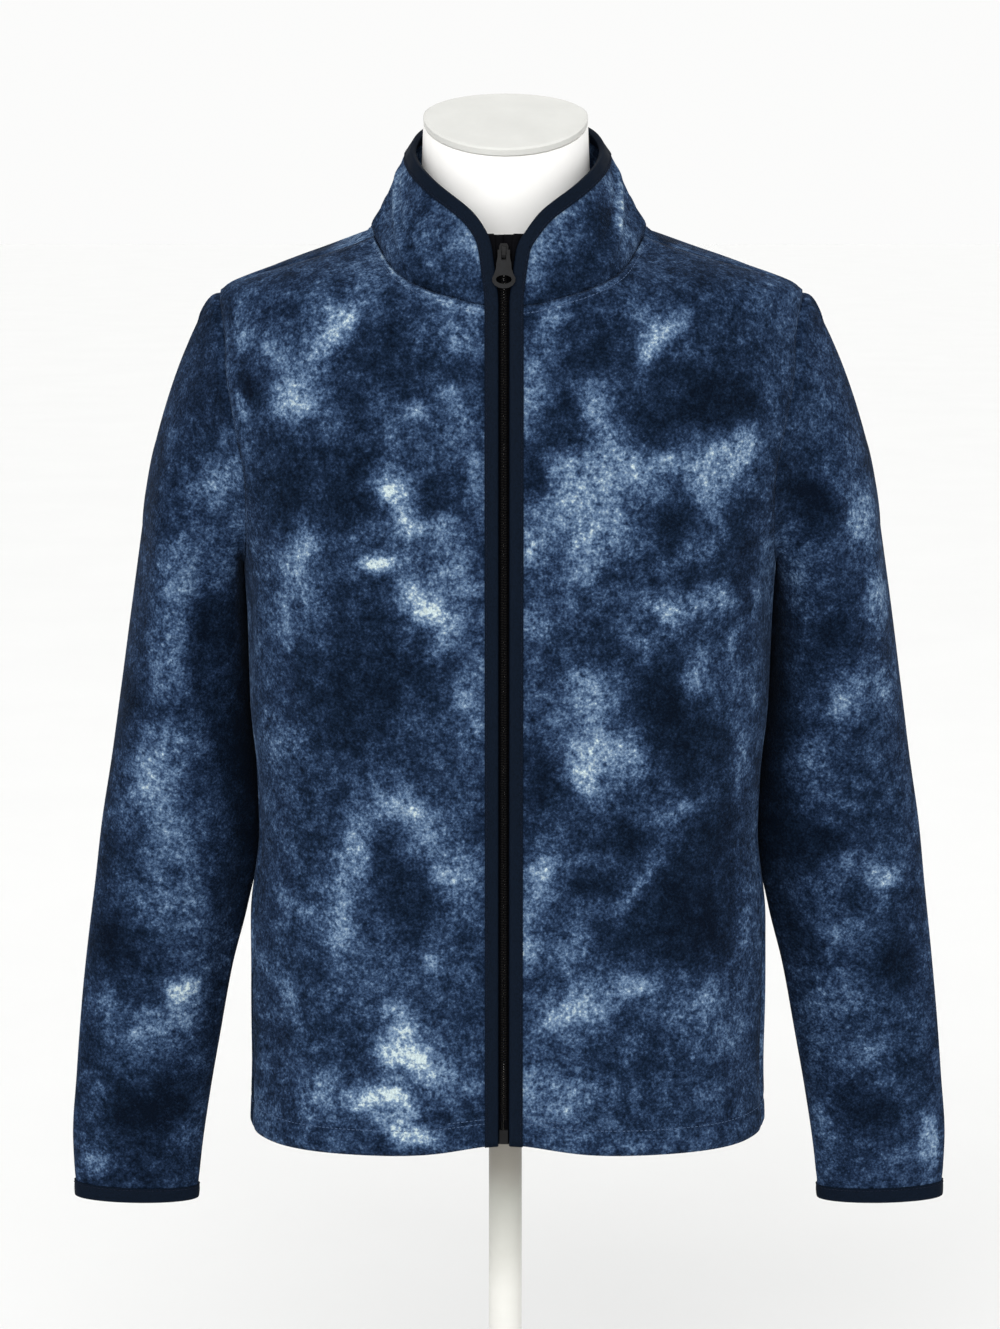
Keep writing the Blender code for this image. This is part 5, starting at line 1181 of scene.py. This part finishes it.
def zip_tape(name, side):
    heights = np.concatenate((np.linspace(HEM_HEIGHT, FRONT_NECK_LOW - 1.0, 120),
                              np.linspace(FRONT_NECK_LOW, SLIDER_LOW - 0.8, 16),
                              np.linspace(SLIDER_LOW, EDGE[0][2] - 0.4, 14)))
    sections = []
    for height in heights:
        place, facing = zip_line(height)
        level = tape_level(height)
        opened = height > SLIDER_LOW - 1.0
        inner = TAPE_GAP + (TAPE_SPREAD if opened else 0.0)
        lean = tape_lean(height)
        inner += 0.35 * lean if opened else 0.0
        if side == LEFT:
            inner -= PIN_SHIFT * float(smooth_step((HEM_HEIGHT + PIN_HEIGHT - height) / 4.0))
        coil = max(COIL_HALF_WIDTH, inner + 1.2)
        bead = (COIL_RISE_OPENED if opened else coil_rise(height)) * 0.55
        edge = level + TAPE_SINK * float(smooth_step((height - FRONT_NECK_LOW + 7.0) / 14.0))
        profile = ((inner, -level - TAPE_CLOTH), (inner, -level + bead - 0.05),
                   (inner + 0.3, -level + bead), (coil - 0.4, -level + bead),
                   (coil, -level + 0.05), (TAPE_HALF_WIDTH + lean, -edge),
                   (TAPE_HALF_WIDTH + lean, -edge - TAPE_CLOTH))
        sections.append(from_zip(place, facing, side, profile))
    return sweep(name, np.array(sections))


def tube(centres, radii, sides=6):
    """Points and faces of a round tube through a few centres."""
    centres = np.asarray(centres, float)
    along = unit(np.gradient(centres, axis=0))
    first = unit(np.cross(along, np.array([0.31, 0.17, 0.93])))
    second = np.cross(along, first)
    turn = np.arange(sides) * 2.0 * math.pi / sides
    radii = np.asarray(radii, float)[:, None, None]
    ring = np.cos(turn)[:, None] * first[:, None] + np.sin(turn)[:, None] * second[:, None]
    points = (centres[:, None] + ring * radii).reshape(-1, 3)
    faces = grid_faces(len(centres), sides, True)[:, ::-1].tolist()
    faces += [list(range(sides)), list(range(len(points) - sides, len(points)))[::-1]]
    return points, faces


def many(name, shapes):
    points, faces, start = [], [], 0
    for shape_points, shape_faces in shapes:
        points.append(shape_points)
        faces += [[start + corner for corner in face] for face in shape_faces]
        start += len(shape_points)
    return make_mesh(name, np.vstack(points), faces)


def tape_end(name, side):
    """The free end of a tape, folded back behind the slider."""
    sections = []
    inner = TAPE_END_INNER[side]
    for height in np.linspace(SLIDER_LOW - 3.0, EDGE[0][2] - 0.8, 12):
        place, facing = zip_line(height)
        outer = TAPE_END_WIDTH + tape_lean(height)
        front = -tape_level(height) - TAPE_CLOTH - TAPE_END_BEHIND[side]
        profile = ((inner, front), (outer, front), (outer, front - TAPE_END_CLOTH),
                   (inner, front - TAPE_END_CLOTH))
        sections.append(from_zip(place, facing, side, profile))
    return sweep(name, np.array(sections))


def zip_teeth(name, side):
    teeth = []
    for height in np.arange(HEM_HEIGHT + FIRST_TOOTH[side], SLIDER_LOW - 1.5, TOOTH_PITCH):
        place, facing = zip_line(height)
        up = np.array([0.0, facing[2], -facing[1]])
        level = -tape_level(height)
        centres = [place + np.array([side * x, 0.0, 0.0]) + facing * (level + n)
                   + up * (TOOTH_LEAN * number * side) for number, (x, n) in enumerate(TOOTH_ARC)]
        radii = [TOOTH_RADIUS * grow for grow in (0.75, 1.0, 1.0, 0.95, 0.6)]
        teeth.append(tube(centres, radii))
    return many(name, teeth)


for side, word in ((LEFT, "left"), (RIGHT, "right")):
    zip_tape("zip_tape_" + word + "_cloth", side)
    tape_end("zip_tape_end_" + word, side)
    zip_teeth("zip_teeth_" + word, side)
print({name: len(piece.data.polygons) for name, piece in ALL_PIECES.items() if "zip" in name})

# %% [markdown]
# ## Stitches
#
# Topstitching holds the hem, sits under the neck seam and runs along the
# leaf of every binding. Each stitch is a short rounded thread that dips at
# both ends where it goes into the cloth.

# %% Stitches
STITCH, STITCH_GAP, THREAD, THREAD_SIDES = 2.6, 0.7, 0.36, 5
STITCH_SPOTS, LEAF_SHARE = (0.0, 0.22, 0.78, 1.0), 0.16


def stitch_row(trail, normals, sink=0.1):
    """Short threads along a trail that lies on the cloth."""
    trail, normals = np.asarray(trail, float), np.asarray(normals, float)
    run, shapes = run_along(trail), []
    dip = np.array([-0.3, 0.12, 0.12, -0.3]) - sink
    radii = THREAD * np.array([0.6, 1.0, 1.0, 0.6])
    for start in np.arange(1.0, run[-1] - STITCH - 1.0, STITCH + STITCH_GAP):
        spots = start + STITCH * np.array(STITCH_SPOTS)
        places, facing = points_at(trail, run, spots), points_at(normals, run, spots)
        shapes.append(tube(places + facing * dip[:, None], radii, THREAD_SIDES))
    return shapes


def grid_of(name):
    """The points of a cloth piece again, in millimetres, its outer ones first."""
    return values_of(ALL_PIECES[name].data.vertices, "co", 3) / MM


threads = []
for name, columns in (("front_left_cloth", NECK_CELLS + SHOULDER_CELLS + 1),
                      ("front_right_cloth", NECK_CELLS + SHOULDER_CELLS + 1),
                      ("back_cloth", 2 * (NECK_CELLS + SHOULDER_CELLS) + 1)):
    rows = SKIRT_CELLS + 1 + ARMHOLE_CELLS
    grid = grid_of(name)[:rows * columns].reshape(rows, columns, 3)
    normals = grid_normals(grid, hint=(0.0, 0.0, 0.0))
    run = run_from(grid, "low")
    row = int(np.argmin(np.abs(run[:, columns // 2] - HEM_DEPTH)))
    threads += stitch_row(grid[row], normals[row])
    if name != "back_cloth":
        second, near_zip = row + 1, slice(0, max(3, columns // 5))
        threads += stitch_row(grid[second, near_zip], normals[second, near_zip])
        span = slice(0, NECK_CELLS + 2)
    else:
        middle = columns // 2
        span = slice(middle - NECK_CELLS, middle + NECK_CELLS + 1)
    threads += stitch_row(grid[-3, span], normals[-3, span])
many("fleece_stitches", threads)
bound = [(BIND_EDGE, BIND_LEAF, BIND_LEAF_NORMAL)]
for edge, normal, leaf, facing in CUFFS.values():
    bound.append([np.vstack((part, part[:1])) for part in (edge, leaf, facing)])
threads = []
for edge, leaf, facing in bound:
    trail = leaf + (edge - leaf) * LEAF_SHARE + facing * (BINDING_GAP + 0.75 * BINDING_CLOTH)
    threads += stitch_row(trail, facing)
many("binding_stitches", threads)
thread_points = len(STITCH_SPOTS) * THREAD_SIDES
print(len(ALL_PIECES["fleece_stitches"].data.vertices) // thread_points, "stitches in the fleece")

# %% [markdown]
# ## Materials
#
# Every finish is mixed from procedural noise, so it stays sharp at any size.
# Two node groups are shared. One turns the print's tone and some noise into
# the dyed colour, and the other makes a grain that can be used for pile,
# threads or paint.

# %% Node helpers
def node(tree, kind, **settings):
    made = tree.nodes.new(kind)
    for name, value in settings.items():
        if hasattr(made, name):
            setattr(made, name, value)
        else:
            made.inputs[name.replace("_", " ")].default_value = value
    return made


def math_node(tree, operation, *values):
    made = tree.nodes.new("ShaderNodeMath")
    made.operation = operation
    for socket, value in zip(made.inputs, values):
        if isinstance(value, (int, float)):
            socket.default_value = value
        else:
            tree.links.new(value, socket)
    return made.outputs[0]


def new_group(name, inputs, outputs):
    group = bpy.data.node_groups.new(name, "ShaderNodeTree")
    for label, kind, value in inputs:
        socket = group.interface.new_socket(label, in_out="INPUT", socket_type=kind)
        if value is not None:
            socket.default_value = value
    for label, kind in outputs:
        group.interface.new_socket(label, in_out="OUTPUT", socket_type=kind)
    return group, group.nodes.new("NodeGroupInput"), group.nodes.new("NodeGroupOutput")


def use_group(tree, group, place, **inputs):
    made = tree.nodes.new("ShaderNodeGroup")
    made.node_tree = group
    tree.links.new(place, made.inputs["Place"])
    for name, value in inputs.items():
        made.inputs[name].default_value = value
    return made


def noise(tree, place, scale, detail=3.0, roughness=0.55):
    made = node(tree, "ShaderNodeTexNoise", Scale=scale, Detail=detail, Roughness=roughness)
    tree.links.new(place, made.inputs["Vector"])
    return made.outputs["Fac"]


def to_linear(red, green, blue):
    """Colour as seen on a screen, from 0 to 255, turned into light."""
    return tuple((c / 255.0 / 12.92) if c < 10.3 else ((c / 255.0 + 0.055) / 1.055) ** 2.4
                 for c in (red, green, blue)) + (1.0,)


def ramp(tree, value, stops):
    made = tree.nodes.new("ShaderNodeValToRGB")
    band = made.color_ramp
    while len(band.elements) < len(stops):
        band.elements.new(0.5)
    for element, (place, colour) in zip(band.elements, stops):
        element.position, element.color = place, colour
    tree.links.new(value, made.inputs["Fac"])
    return made.outputs["Color"]


# %% [markdown]
# The dye group adds four sizes of noise to the charted tone. The largest
# makes the cloth drift between navy and mid blue where the chart says
# nothing, and the next frays the edges of each patch. The third mottles the
# patches themselves, and the smallest is the speckle of single tufts. A
# colour ramp then gives the dyer's palette.

# %% The dye group and the grain group
DYE, entry, leave = new_group(
    "cloudy dye", [("Tone", "NodeSocketFloat", 0.0), ("Place", "NodeSocketVector", None),
                   ("Drift", "NodeSocketFloat", 0.55), ("Fray", "NodeSocketFloat", 0.82),
                   ("Mottle", "NodeSocketFloat", 0.52), ("Speckle", "NodeSocketFloat", 0.5)],
    [("Colour", "NodeSocketColor"), ("Value", "NodeSocketFloat")])
place = entry.outputs["Place"]


def wander(scale, detail, roughness, amount):
    """Noise that swings about nought by a given amount."""
    swing = math_node(DYE, "SUBTRACT", noise(DYE, place, scale, detail, roughness), 0.5)
    return math_node(DYE, "MULTIPLY", swing, entry.outputs[amount])


mottle = wander(250.0, 2.0, 0.5, "Mottle")
broken = math_node(DYE, "MULTIPLY_ADD", mottle, 1.5, 1.0)
tone = math_node(DYE, "MULTIPLY", entry.outputs["Tone"], broken)
tone = math_node(DYE, "MULTIPLY_ADD", tone, 0.60, 0.38)
total = math_node(DYE, "ADD", math_node(DYE, "ADD", tone, wander(17.0, 4.0, 0.55, "Drift")),
                  math_node(DYE, "ADD", wander(70.0, 5.0, 0.65, "Fray"),
                            math_node(DYE, "ADD", mottle,
                                      wander(560.0, 2.0, 0.5, "Speckle"))))
PALETTE = ((0.0, to_linear(5, 15, 30)), (0.18, to_linear(14, 28, 47)),
           (0.34, to_linear(28, 44, 69)), (0.50, to_linear(52, 73, 104)),
           (0.66, to_linear(90, 115, 147)), (0.82, to_linear(134, 158, 184)),
           (1.0, to_linear(205, 222, 224)))
DYE.links.new(ramp(DYE, total, PALETTE), leave.inputs["Colour"])
DYE.links.new(total, leave.inputs["Value"])

GRAIN, entry, leave = new_group(
    "grain", [("Place", "NodeSocketVector", None), ("Scale", "NodeSocketFloat", 600.0)],
    [("Height", "NodeSocketFloat"), ("Shade", "NodeSocketFloat")])
fine = GRAIN.nodes.new("ShaderNodeTexNoise")
fine.inputs["Detail"].default_value = 3.0
cells = GRAIN.nodes.new("ShaderNodeTexVoronoi")
for made in (fine, cells):
    GRAIN.links.new(entry.outputs["Place"], made.inputs["Vector"])
    GRAIN.links.new(entry.outputs["Scale"], made.inputs["Scale"])
tuft = math_node(GRAIN, "SUBTRACT", 1.0, cells.outputs["Distance"])
height = math_node(GRAIN, "ADD", math_node(GRAIN, "MULTIPLY", tuft, 0.6),
                   math_node(GRAIN, "MULTIPLY", fine.outputs["Fac"], 0.6))
GRAIN.links.new(height, leave.inputs["Height"])
# Shade is painted shade: darker where the grain is low, between the tufts.
GRAIN.links.new(math_node(GRAIN, "MULTIPLY_ADD", height, 0.6, 0.52), leave.inputs["Shade"])
print("node groups:", [group.name for group in bpy.data.node_groups])


CLOTH_SHINE = 0.04


def new_material(name, roughness, metallic=0.0, shine=CLOTH_SHINE):
    made = bpy.data.materials.new(name)
    made.use_nodes = True
    shader = made.node_tree.nodes["Principled BSDF"]
    for socket, value in (("Roughness", roughness), ("Metallic", metallic),
                          ("Specular IOR Level", shine)):
        shader.inputs[socket].default_value = value
    place = made.node_tree.nodes.new("ShaderNodeTexCoord").outputs["Object"]
    return made, made.node_tree, shader, place


def bump(tree, height, distance, strength, shader):
    made = node(tree, "ShaderNodeBump", Strength=strength, Distance=distance)
    tree.links.new(height, made.inputs["Height"])
    tree.links.new(made.outputs["Normal"], shader.inputs["Normal"])
    return made


def shaded(tree, colour, shade):
    made = tree.nodes.new("ShaderNodeMix")
    made.data_type, made.blend_type = "RGBA", "MULTIPLY"
    made.inputs["Factor"].default_value = 1.0
    tree.links.new(colour, made.inputs["A"])
    tree.links.new(shade, made.inputs["B"])
    return made.outputs["Result"]


DYE_DEPTH = 0.84
WHITE_PAINT = (to_linear(238, 237, 233), to_linear(245, 244, 241))
# height on the post in metres and the paint's colour there, darkened towards the top by a painted
# shadow of the skirt
POST_PAINTED_SHADOW = ((0.175, to_linear(224, 224, 222)), (0.225, to_linear(226, 226, 223)),
             (0.298, to_linear(188, 189, 184)), (0.33, to_linear(148, 145, 138)),
             (0.4, to_linear(130, 126, 120)))


def fleece_material():
    made, tree, shader, place = new_material("cloudy fleece", 0.94)
    tone = node(tree, "ShaderNodeAttribute", attribute_name="tone")
    dye = use_group(tree, DYE, place)
    tree.links.new(tone.outputs["Fac"], dye.inputs["Tone"])
    pile = use_group(tree, GRAIN, place, Scale=620.0)
    # Painted shade between the pile's tufts, times the uniform depth of the dye.
    tuft_shade_and_dye = math_node(tree, "MULTIPLY", pile.outputs["Shade"], DYE_DEPTH)
    tree.links.new(shaded(tree, dye.outputs["Colour"], tuft_shade_and_dye),
                   shader.inputs["Base Color"])
    clumps = noise(tree, place, 210.0, 2.0)
    height = math_node(tree, "ADD", pile.outputs["Height"], clumps)
    bump(tree, height, 0.0011, 0.75, shader)
    for socket, value in (("Sheen Weight", 0.05), ("Sheen Roughness", 0.5),
                          ("Sheen Tint", to_linear(150, 165, 185))):
        shader.inputs[socket].default_value = value
    return made


def woven_material(name, dark, light, roughness, scale, depth):
    """Fine woven strip: ribs across it, with uneven threads."""
    made, tree, shader, place = new_material(name, roughness)
    ribs = node(tree, "ShaderNodeTexWave", Scale=scale, Distortion=0.6, Detail=2.0)
    ribs.bands_direction = "Z"
    tree.links.new(place, ribs.inputs["Vector"])
    grain = use_group(tree, GRAIN, place, Scale=900.0)
    value = math_node(tree, "ADD", math_node(tree, "MULTIPLY", ribs.outputs["Fac"], 0.35),
                      math_node(tree, "MULTIPLY", grain.outputs["Height"], 0.6))
    tree.links.new(ramp(tree, value, ((0.2, dark), (0.9, light))), shader.inputs["Base Color"])
    bump(tree, value, depth, 0.5, shader)
    return made


def painted_material(name, dark, light, roughness, metallic, scale, depth, shine=0.5):
    """Moulded, cast or painted surface with faint unevenness."""
    made, tree, shader, place = new_material(name, roughness, metallic, shine)
    clouds = noise(tree, place, scale, 4.0)
    tree.links.new(ramp(tree, clouds, ((0.3, dark), (0.7, light))), shader.inputs["Base Color"])
    grain = use_group(tree, GRAIN, place, Scale=scale * 9.0)
    rough = math_node(tree, "MULTIPLY_ADD", grain.outputs["Height"], 0.12, roughness - 0.06)
    tree.links.new(rough, shader.inputs["Roughness"])
    bump(tree, grain.outputs["Height"], depth, 0.35, shader)
    return made


def shadowed_post_material():
    """White paint with the skirt's shadow painted on, greyer towards the top."""
    made = painted_material("post paint, painted shadow", *WHITE_PAINT, 0.45, 0.0, 26.0, 0.00008, 0.2)
    tree = made.node_tree
    shader = tree.nodes["Principled BSDF"]
    paint = shader.inputs["Base Color"].links[0].from_socket
    place = next(part for part in tree.nodes if part.type == "TEX_COORD").outputs["Object"]
    split = tree.nodes.new("ShaderNodeSeparateXYZ")
    tree.links.new(place, split.inputs["Vector"])
    height = math_node(tree, "MULTIPLY_ADD", noise(tree, place, 40.0), 0.01, split.outputs["Z"])
    # Painted shadow of the skirt: the paint darkens towards the top of the post.
    painted_shadow = ramp(tree, height, POST_PAINTED_SHADOW)
    tree.links.new(shaded(tree, paint, painted_shadow), shader.inputs["Base Color"])
    return made


LOOKS = {
    "fleece": fleece_material(),
    "fleece_thread": woven_material("fleece thread", to_linear(30, 44, 67),
                                    to_linear(92, 113, 145), 0.8, 900.0, 0.00008),
    "binding": woven_material("binding weave", to_linear(2, 7, 14), to_linear(13, 24, 40),
                              0.62, 420.0, 0.00018),
    "binding_thread": woven_material("binding thread", to_linear(8, 10, 17),
                                     to_linear(30, 38, 55), 0.7, 900.0, 0.00008),
    "zip_tape": woven_material("zip tape weave", to_linear(3, 3, 5), to_linear(14, 14, 18),
                               0.82, 500.0, 0.00015),
    "zip_teeth": painted_material("coil nylon", to_linear(4, 4, 4), to_linear(14, 12, 11),
                                  0.55, 0.0, 90.0, 0.00005, 0.1),
    "zip_metal": painted_material("dark zip metal", to_linear(4, 4, 5), to_linear(13, 14, 17),
                                  0.42, 0.35, 120.0, 0.00006, 0.25),
    "form_white": painted_material("form shell", to_linear(237, 236, 233),
                                   to_linear(243, 242, 240), 0.55, 0.0, 30.0, 0.00012),
    # The cap's grey is painted shade on its upward face, over a slightly different white of its own.
    "form_cap": painted_material("form cap", to_linear(197, 197, 193),
                                 to_linear(204, 204, 200), 0.6, 0.0, 30.0, 0.0001, 0.2),
    "stand_white": painted_material("stand paint", *WHITE_PAINT, 0.4, 0.0, 26.0, 0.00008),
    # The post's look carries a painted shadow of the skirt, darker towards the top.
    "stand_post": shadowed_post_material(),
}

# %% [markdown]
# ## Dressing the frame
#
# Each fine piece takes the place of its plain solid and rides on the same
# body. The hard parts of the zip, the form and its stand keep their modelled
# shape. They get a finish, and their curved faces are shaded smooth.

# %% Give every piece its look, its body and its place
# piece, its look, its slot and the plain solid that it stands for
DRESS = (
    ("front_left_cloth", "fleece", "fleece", "jacket_front_left"),
    ("front_right_cloth", "fleece", "fleece", "jacket_front_right"),
    ("back_cloth", "fleece", "fleece", "jacket_back"),
    ("sleeve_left_cloth", "fleece", "fleece", "sleeve_left"),
    ("sleeve_right_cloth", "fleece", "fleece", "sleeve_right"),
    ("collar_cloth", "fleece", "fleece", "collar"),
    ("edge_binding_cloth", "binding", "binding", "edge_binding"),
    ("cuff_binding_left_cloth", "binding", "binding", "cuff_binding_left"),
    ("cuff_binding_right_cloth", "binding", "binding", "cuff_binding_right"),
    ("zip_tape_left_cloth", "zip_tape", "zip_tape", "zip_tape_left"),
    ("zip_tape_right_cloth", "zip_tape", "zip_tape", "zip_tape_right"),
    ("zip_tape_end_left", "zip_tape", "zip_tape", None),
    ("zip_tape_end_right", "zip_tape", "zip_tape", None),
    ("zip_teeth_left", "zip_teeth", "zip_tape", None),
    ("zip_teeth_right", "zip_teeth", "zip_tape", None),
    ("fleece_stitches", "fleece_thread", "fleece", None),
    ("binding_stitches", "binding_thread", "binding", None),
)
for name, look, slot, replaced in DRESS:
    piece = ALL_PIECES[name]
    piece.data.materials.append(LOOKS[look])
    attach(piece, "jacket_on_form")
    if replaced:
        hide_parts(replaced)
KEPT = {"zip_slider": "zip_metal", "zip_pull_tab": "zip_metal", "zip_box": "zip_metal",
        "zip_pin": "zip_metal", "dress_form": "form_white", "form_neck_cap": "form_white",
        "stand_post": "stand_white", "stand_base": "stand_white"}
OWN_LOOKS = {"form_neck_cap": "form_cap", "stand_post": "stand_post"}
EDGE_ANGLE, SAME_PLACE_DIGITS = 32.0, 6


def shade_round(part):
    """Shade curved faces as one smooth surface, and keep the real edges crisp."""
    mesh = part.data
    mesh.shade_smooth()
    corners = values_of(mesh.loops, "vertex_index", number=np.int32)
    places = np.round(values_of(mesh.vertices, "co", 3), SAME_PLACE_DIGITS)[corners]
    spots = np.unique(places, axis=0, return_inverse=True)[1].ravel()
    facing = np.array([face.normal for face in mesh.polygons for _ in face.loop_indices])
    areas = np.array([face.area for face in mesh.polygons for _ in face.loop_indices])
    normals = np.zeros_like(facing)
    for corner_group in np.split(np.argsort(spots, kind="stable"),
                                 np.cumsum(np.bincount(spots))[:-1]):
        own = facing[corner_group]
        near = own @ own.T > math.cos(math.radians(EDGE_ANGLE))
        normals[corner_group] = near @ (own * areas[corner_group, None])
    mesh.normals_split_custom_set(normals.tolist())


for name, look in KEPT.items():
    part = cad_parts[name]
    part.data.materials.clear()
    part.data.materials.append(LOOKS[OWN_LOOKS.get(name, look)])
    shade_round(part)


for name, look, slot, replaced in DRESS:
    if replaced:
        areas = values_of(ALL_PIECES[name].data.polygons, "area")
        print(name, "half its surface is", round(float(areas.sum()) / 2, 4), "square metres")
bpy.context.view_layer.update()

# %% [markdown]
# ## Light, floor and camera
#
# A product photograph of clothes is lit from all sides by a white room. Four
# soft suns stand for its walls of lamps, one large soft light hangs above the
# camera and one over the backdrop. The floor has the same pale shade as the
# room, so no horizon shows.

# %% Studio
world = bpy.data.worlds.new("white room")
bpy.context.scene.world = world
world.use_nodes = True
room = world.node_tree
direction = room.nodes.new("ShaderNodeTexCoord").outputs["Generated"]
split = room.nodes.new("ShaderNodeSeparateXYZ")
room.links.new(direction, split.inputs["Vector"])
sky = ramp(room, split.outputs["Z"], ((0.28, (0.97, 0.97, 0.965, 1.0)),
                                      (0.62, (0.5, 0.5, 0.5, 1.0))))
room.links.new(sky, room.nodes["Background"].inputs["Color"])
room.nodes["Background"].inputs["Strength"].default_value = 1.0

FLOOR_HALF, FLOOR_LEVEL = 30000.0, -0.4
corners = [(-FLOOR_HALF, -FLOOR_HALF, FLOOR_LEVEL), (FLOOR_HALF, -FLOOR_HALF, FLOOR_LEVEL),
           (FLOOR_HALF, FLOOR_HALF, FLOOR_LEVEL), (-FLOOR_HALF, FLOOR_HALF, FLOOR_LEVEL)]
floor = make_mesh("studio_floor", corners, [(0, 1, 2, 3)], smooth=False)
floor.data.materials.append(painted_material("pale floor", to_linear(240, 240, 239),
                                             to_linear(242, 242, 241), 0.9, 0.0, 3.0, 0.0001))


def hang_lamp(name, lamp, away):
    """Hang a lamp so that it shines back along the way it stands from its target."""
    made = bpy.data.objects.new(name, lamp)
    bpy.context.scene.collection.objects.link(made)
    flat = math.hypot(away[0], away[1])
    made.rotation_euler = (math.atan2(flat, away[2]), 0.0, math.atan2(away[1], away[0]) + math.pi / 2)
    return made


def soft_light(name, place, target, size, power):
    lamp = bpy.data.lights.new(name, "AREA")
    lamp.shape, lamp.size, lamp.size_y, lamp.energy = "RECTANGLE", size[0], size[1], power
    hang_lamp(name, lamp, np.array(place) - np.array(target)).location = place


CHEST = (0.0, 0.0, 0.8)
soft_light("key", (-0.7, -2.3, 2.9), CHEST, (1.8, 1.2), 8.0)
soft_light("backdrop lamps", (0.0, 0.9, 2.7), (0.0, 0.9, 0.0), (2.6, 0.8), 3.2)


def soft_sun(name, direction, spread, strength):
    """Even light over the whole room, as a wall of lamps gives it."""
    lamp = bpy.data.lights.new(name, "SUN")
    lamp.angle, lamp.energy = math.radians(spread), strength
    hang_lamp(name, lamp, direction)


soft_sun("front lamps", (-0.15, -1.0, 0.5), 70.0, 1.85)
soft_sun("top lamps", (0.3, 0.25, 1.0), 80.0, 0.55)
soft_sun("left wall", (-1.0, -0.35, 0.35), 60.0, 0.3)
soft_sun("right wall", (1.0, -0.35, 0.35), 60.0, 0.4)

SENSOR, LENS, FARTHEST = 36.0, 80.9, 100.0
CAMERA_PLACE, CAMERA_TILT = (-0.0042, -2.25, 1.12), 80.0
camera_data = bpy.data.cameras.new("photo camera")
camera = bpy.data.objects.new("photo camera", camera_data)
bpy.context.scene.collection.objects.link(camera)
camera_data.sensor_width, camera_data.lens, camera_data.clip_end = SENSOR, LENS, FARTHEST
camera.location = CAMERA_PLACE
camera.rotation_euler = (math.radians(CAMERA_TILT), 0.0, 0.0)
bpy.context.scene.camera = camera
settings = bpy.context.scene.view_settings
settings.view_transform, settings.look, settings.exposure = "Standard", "None", 0.0
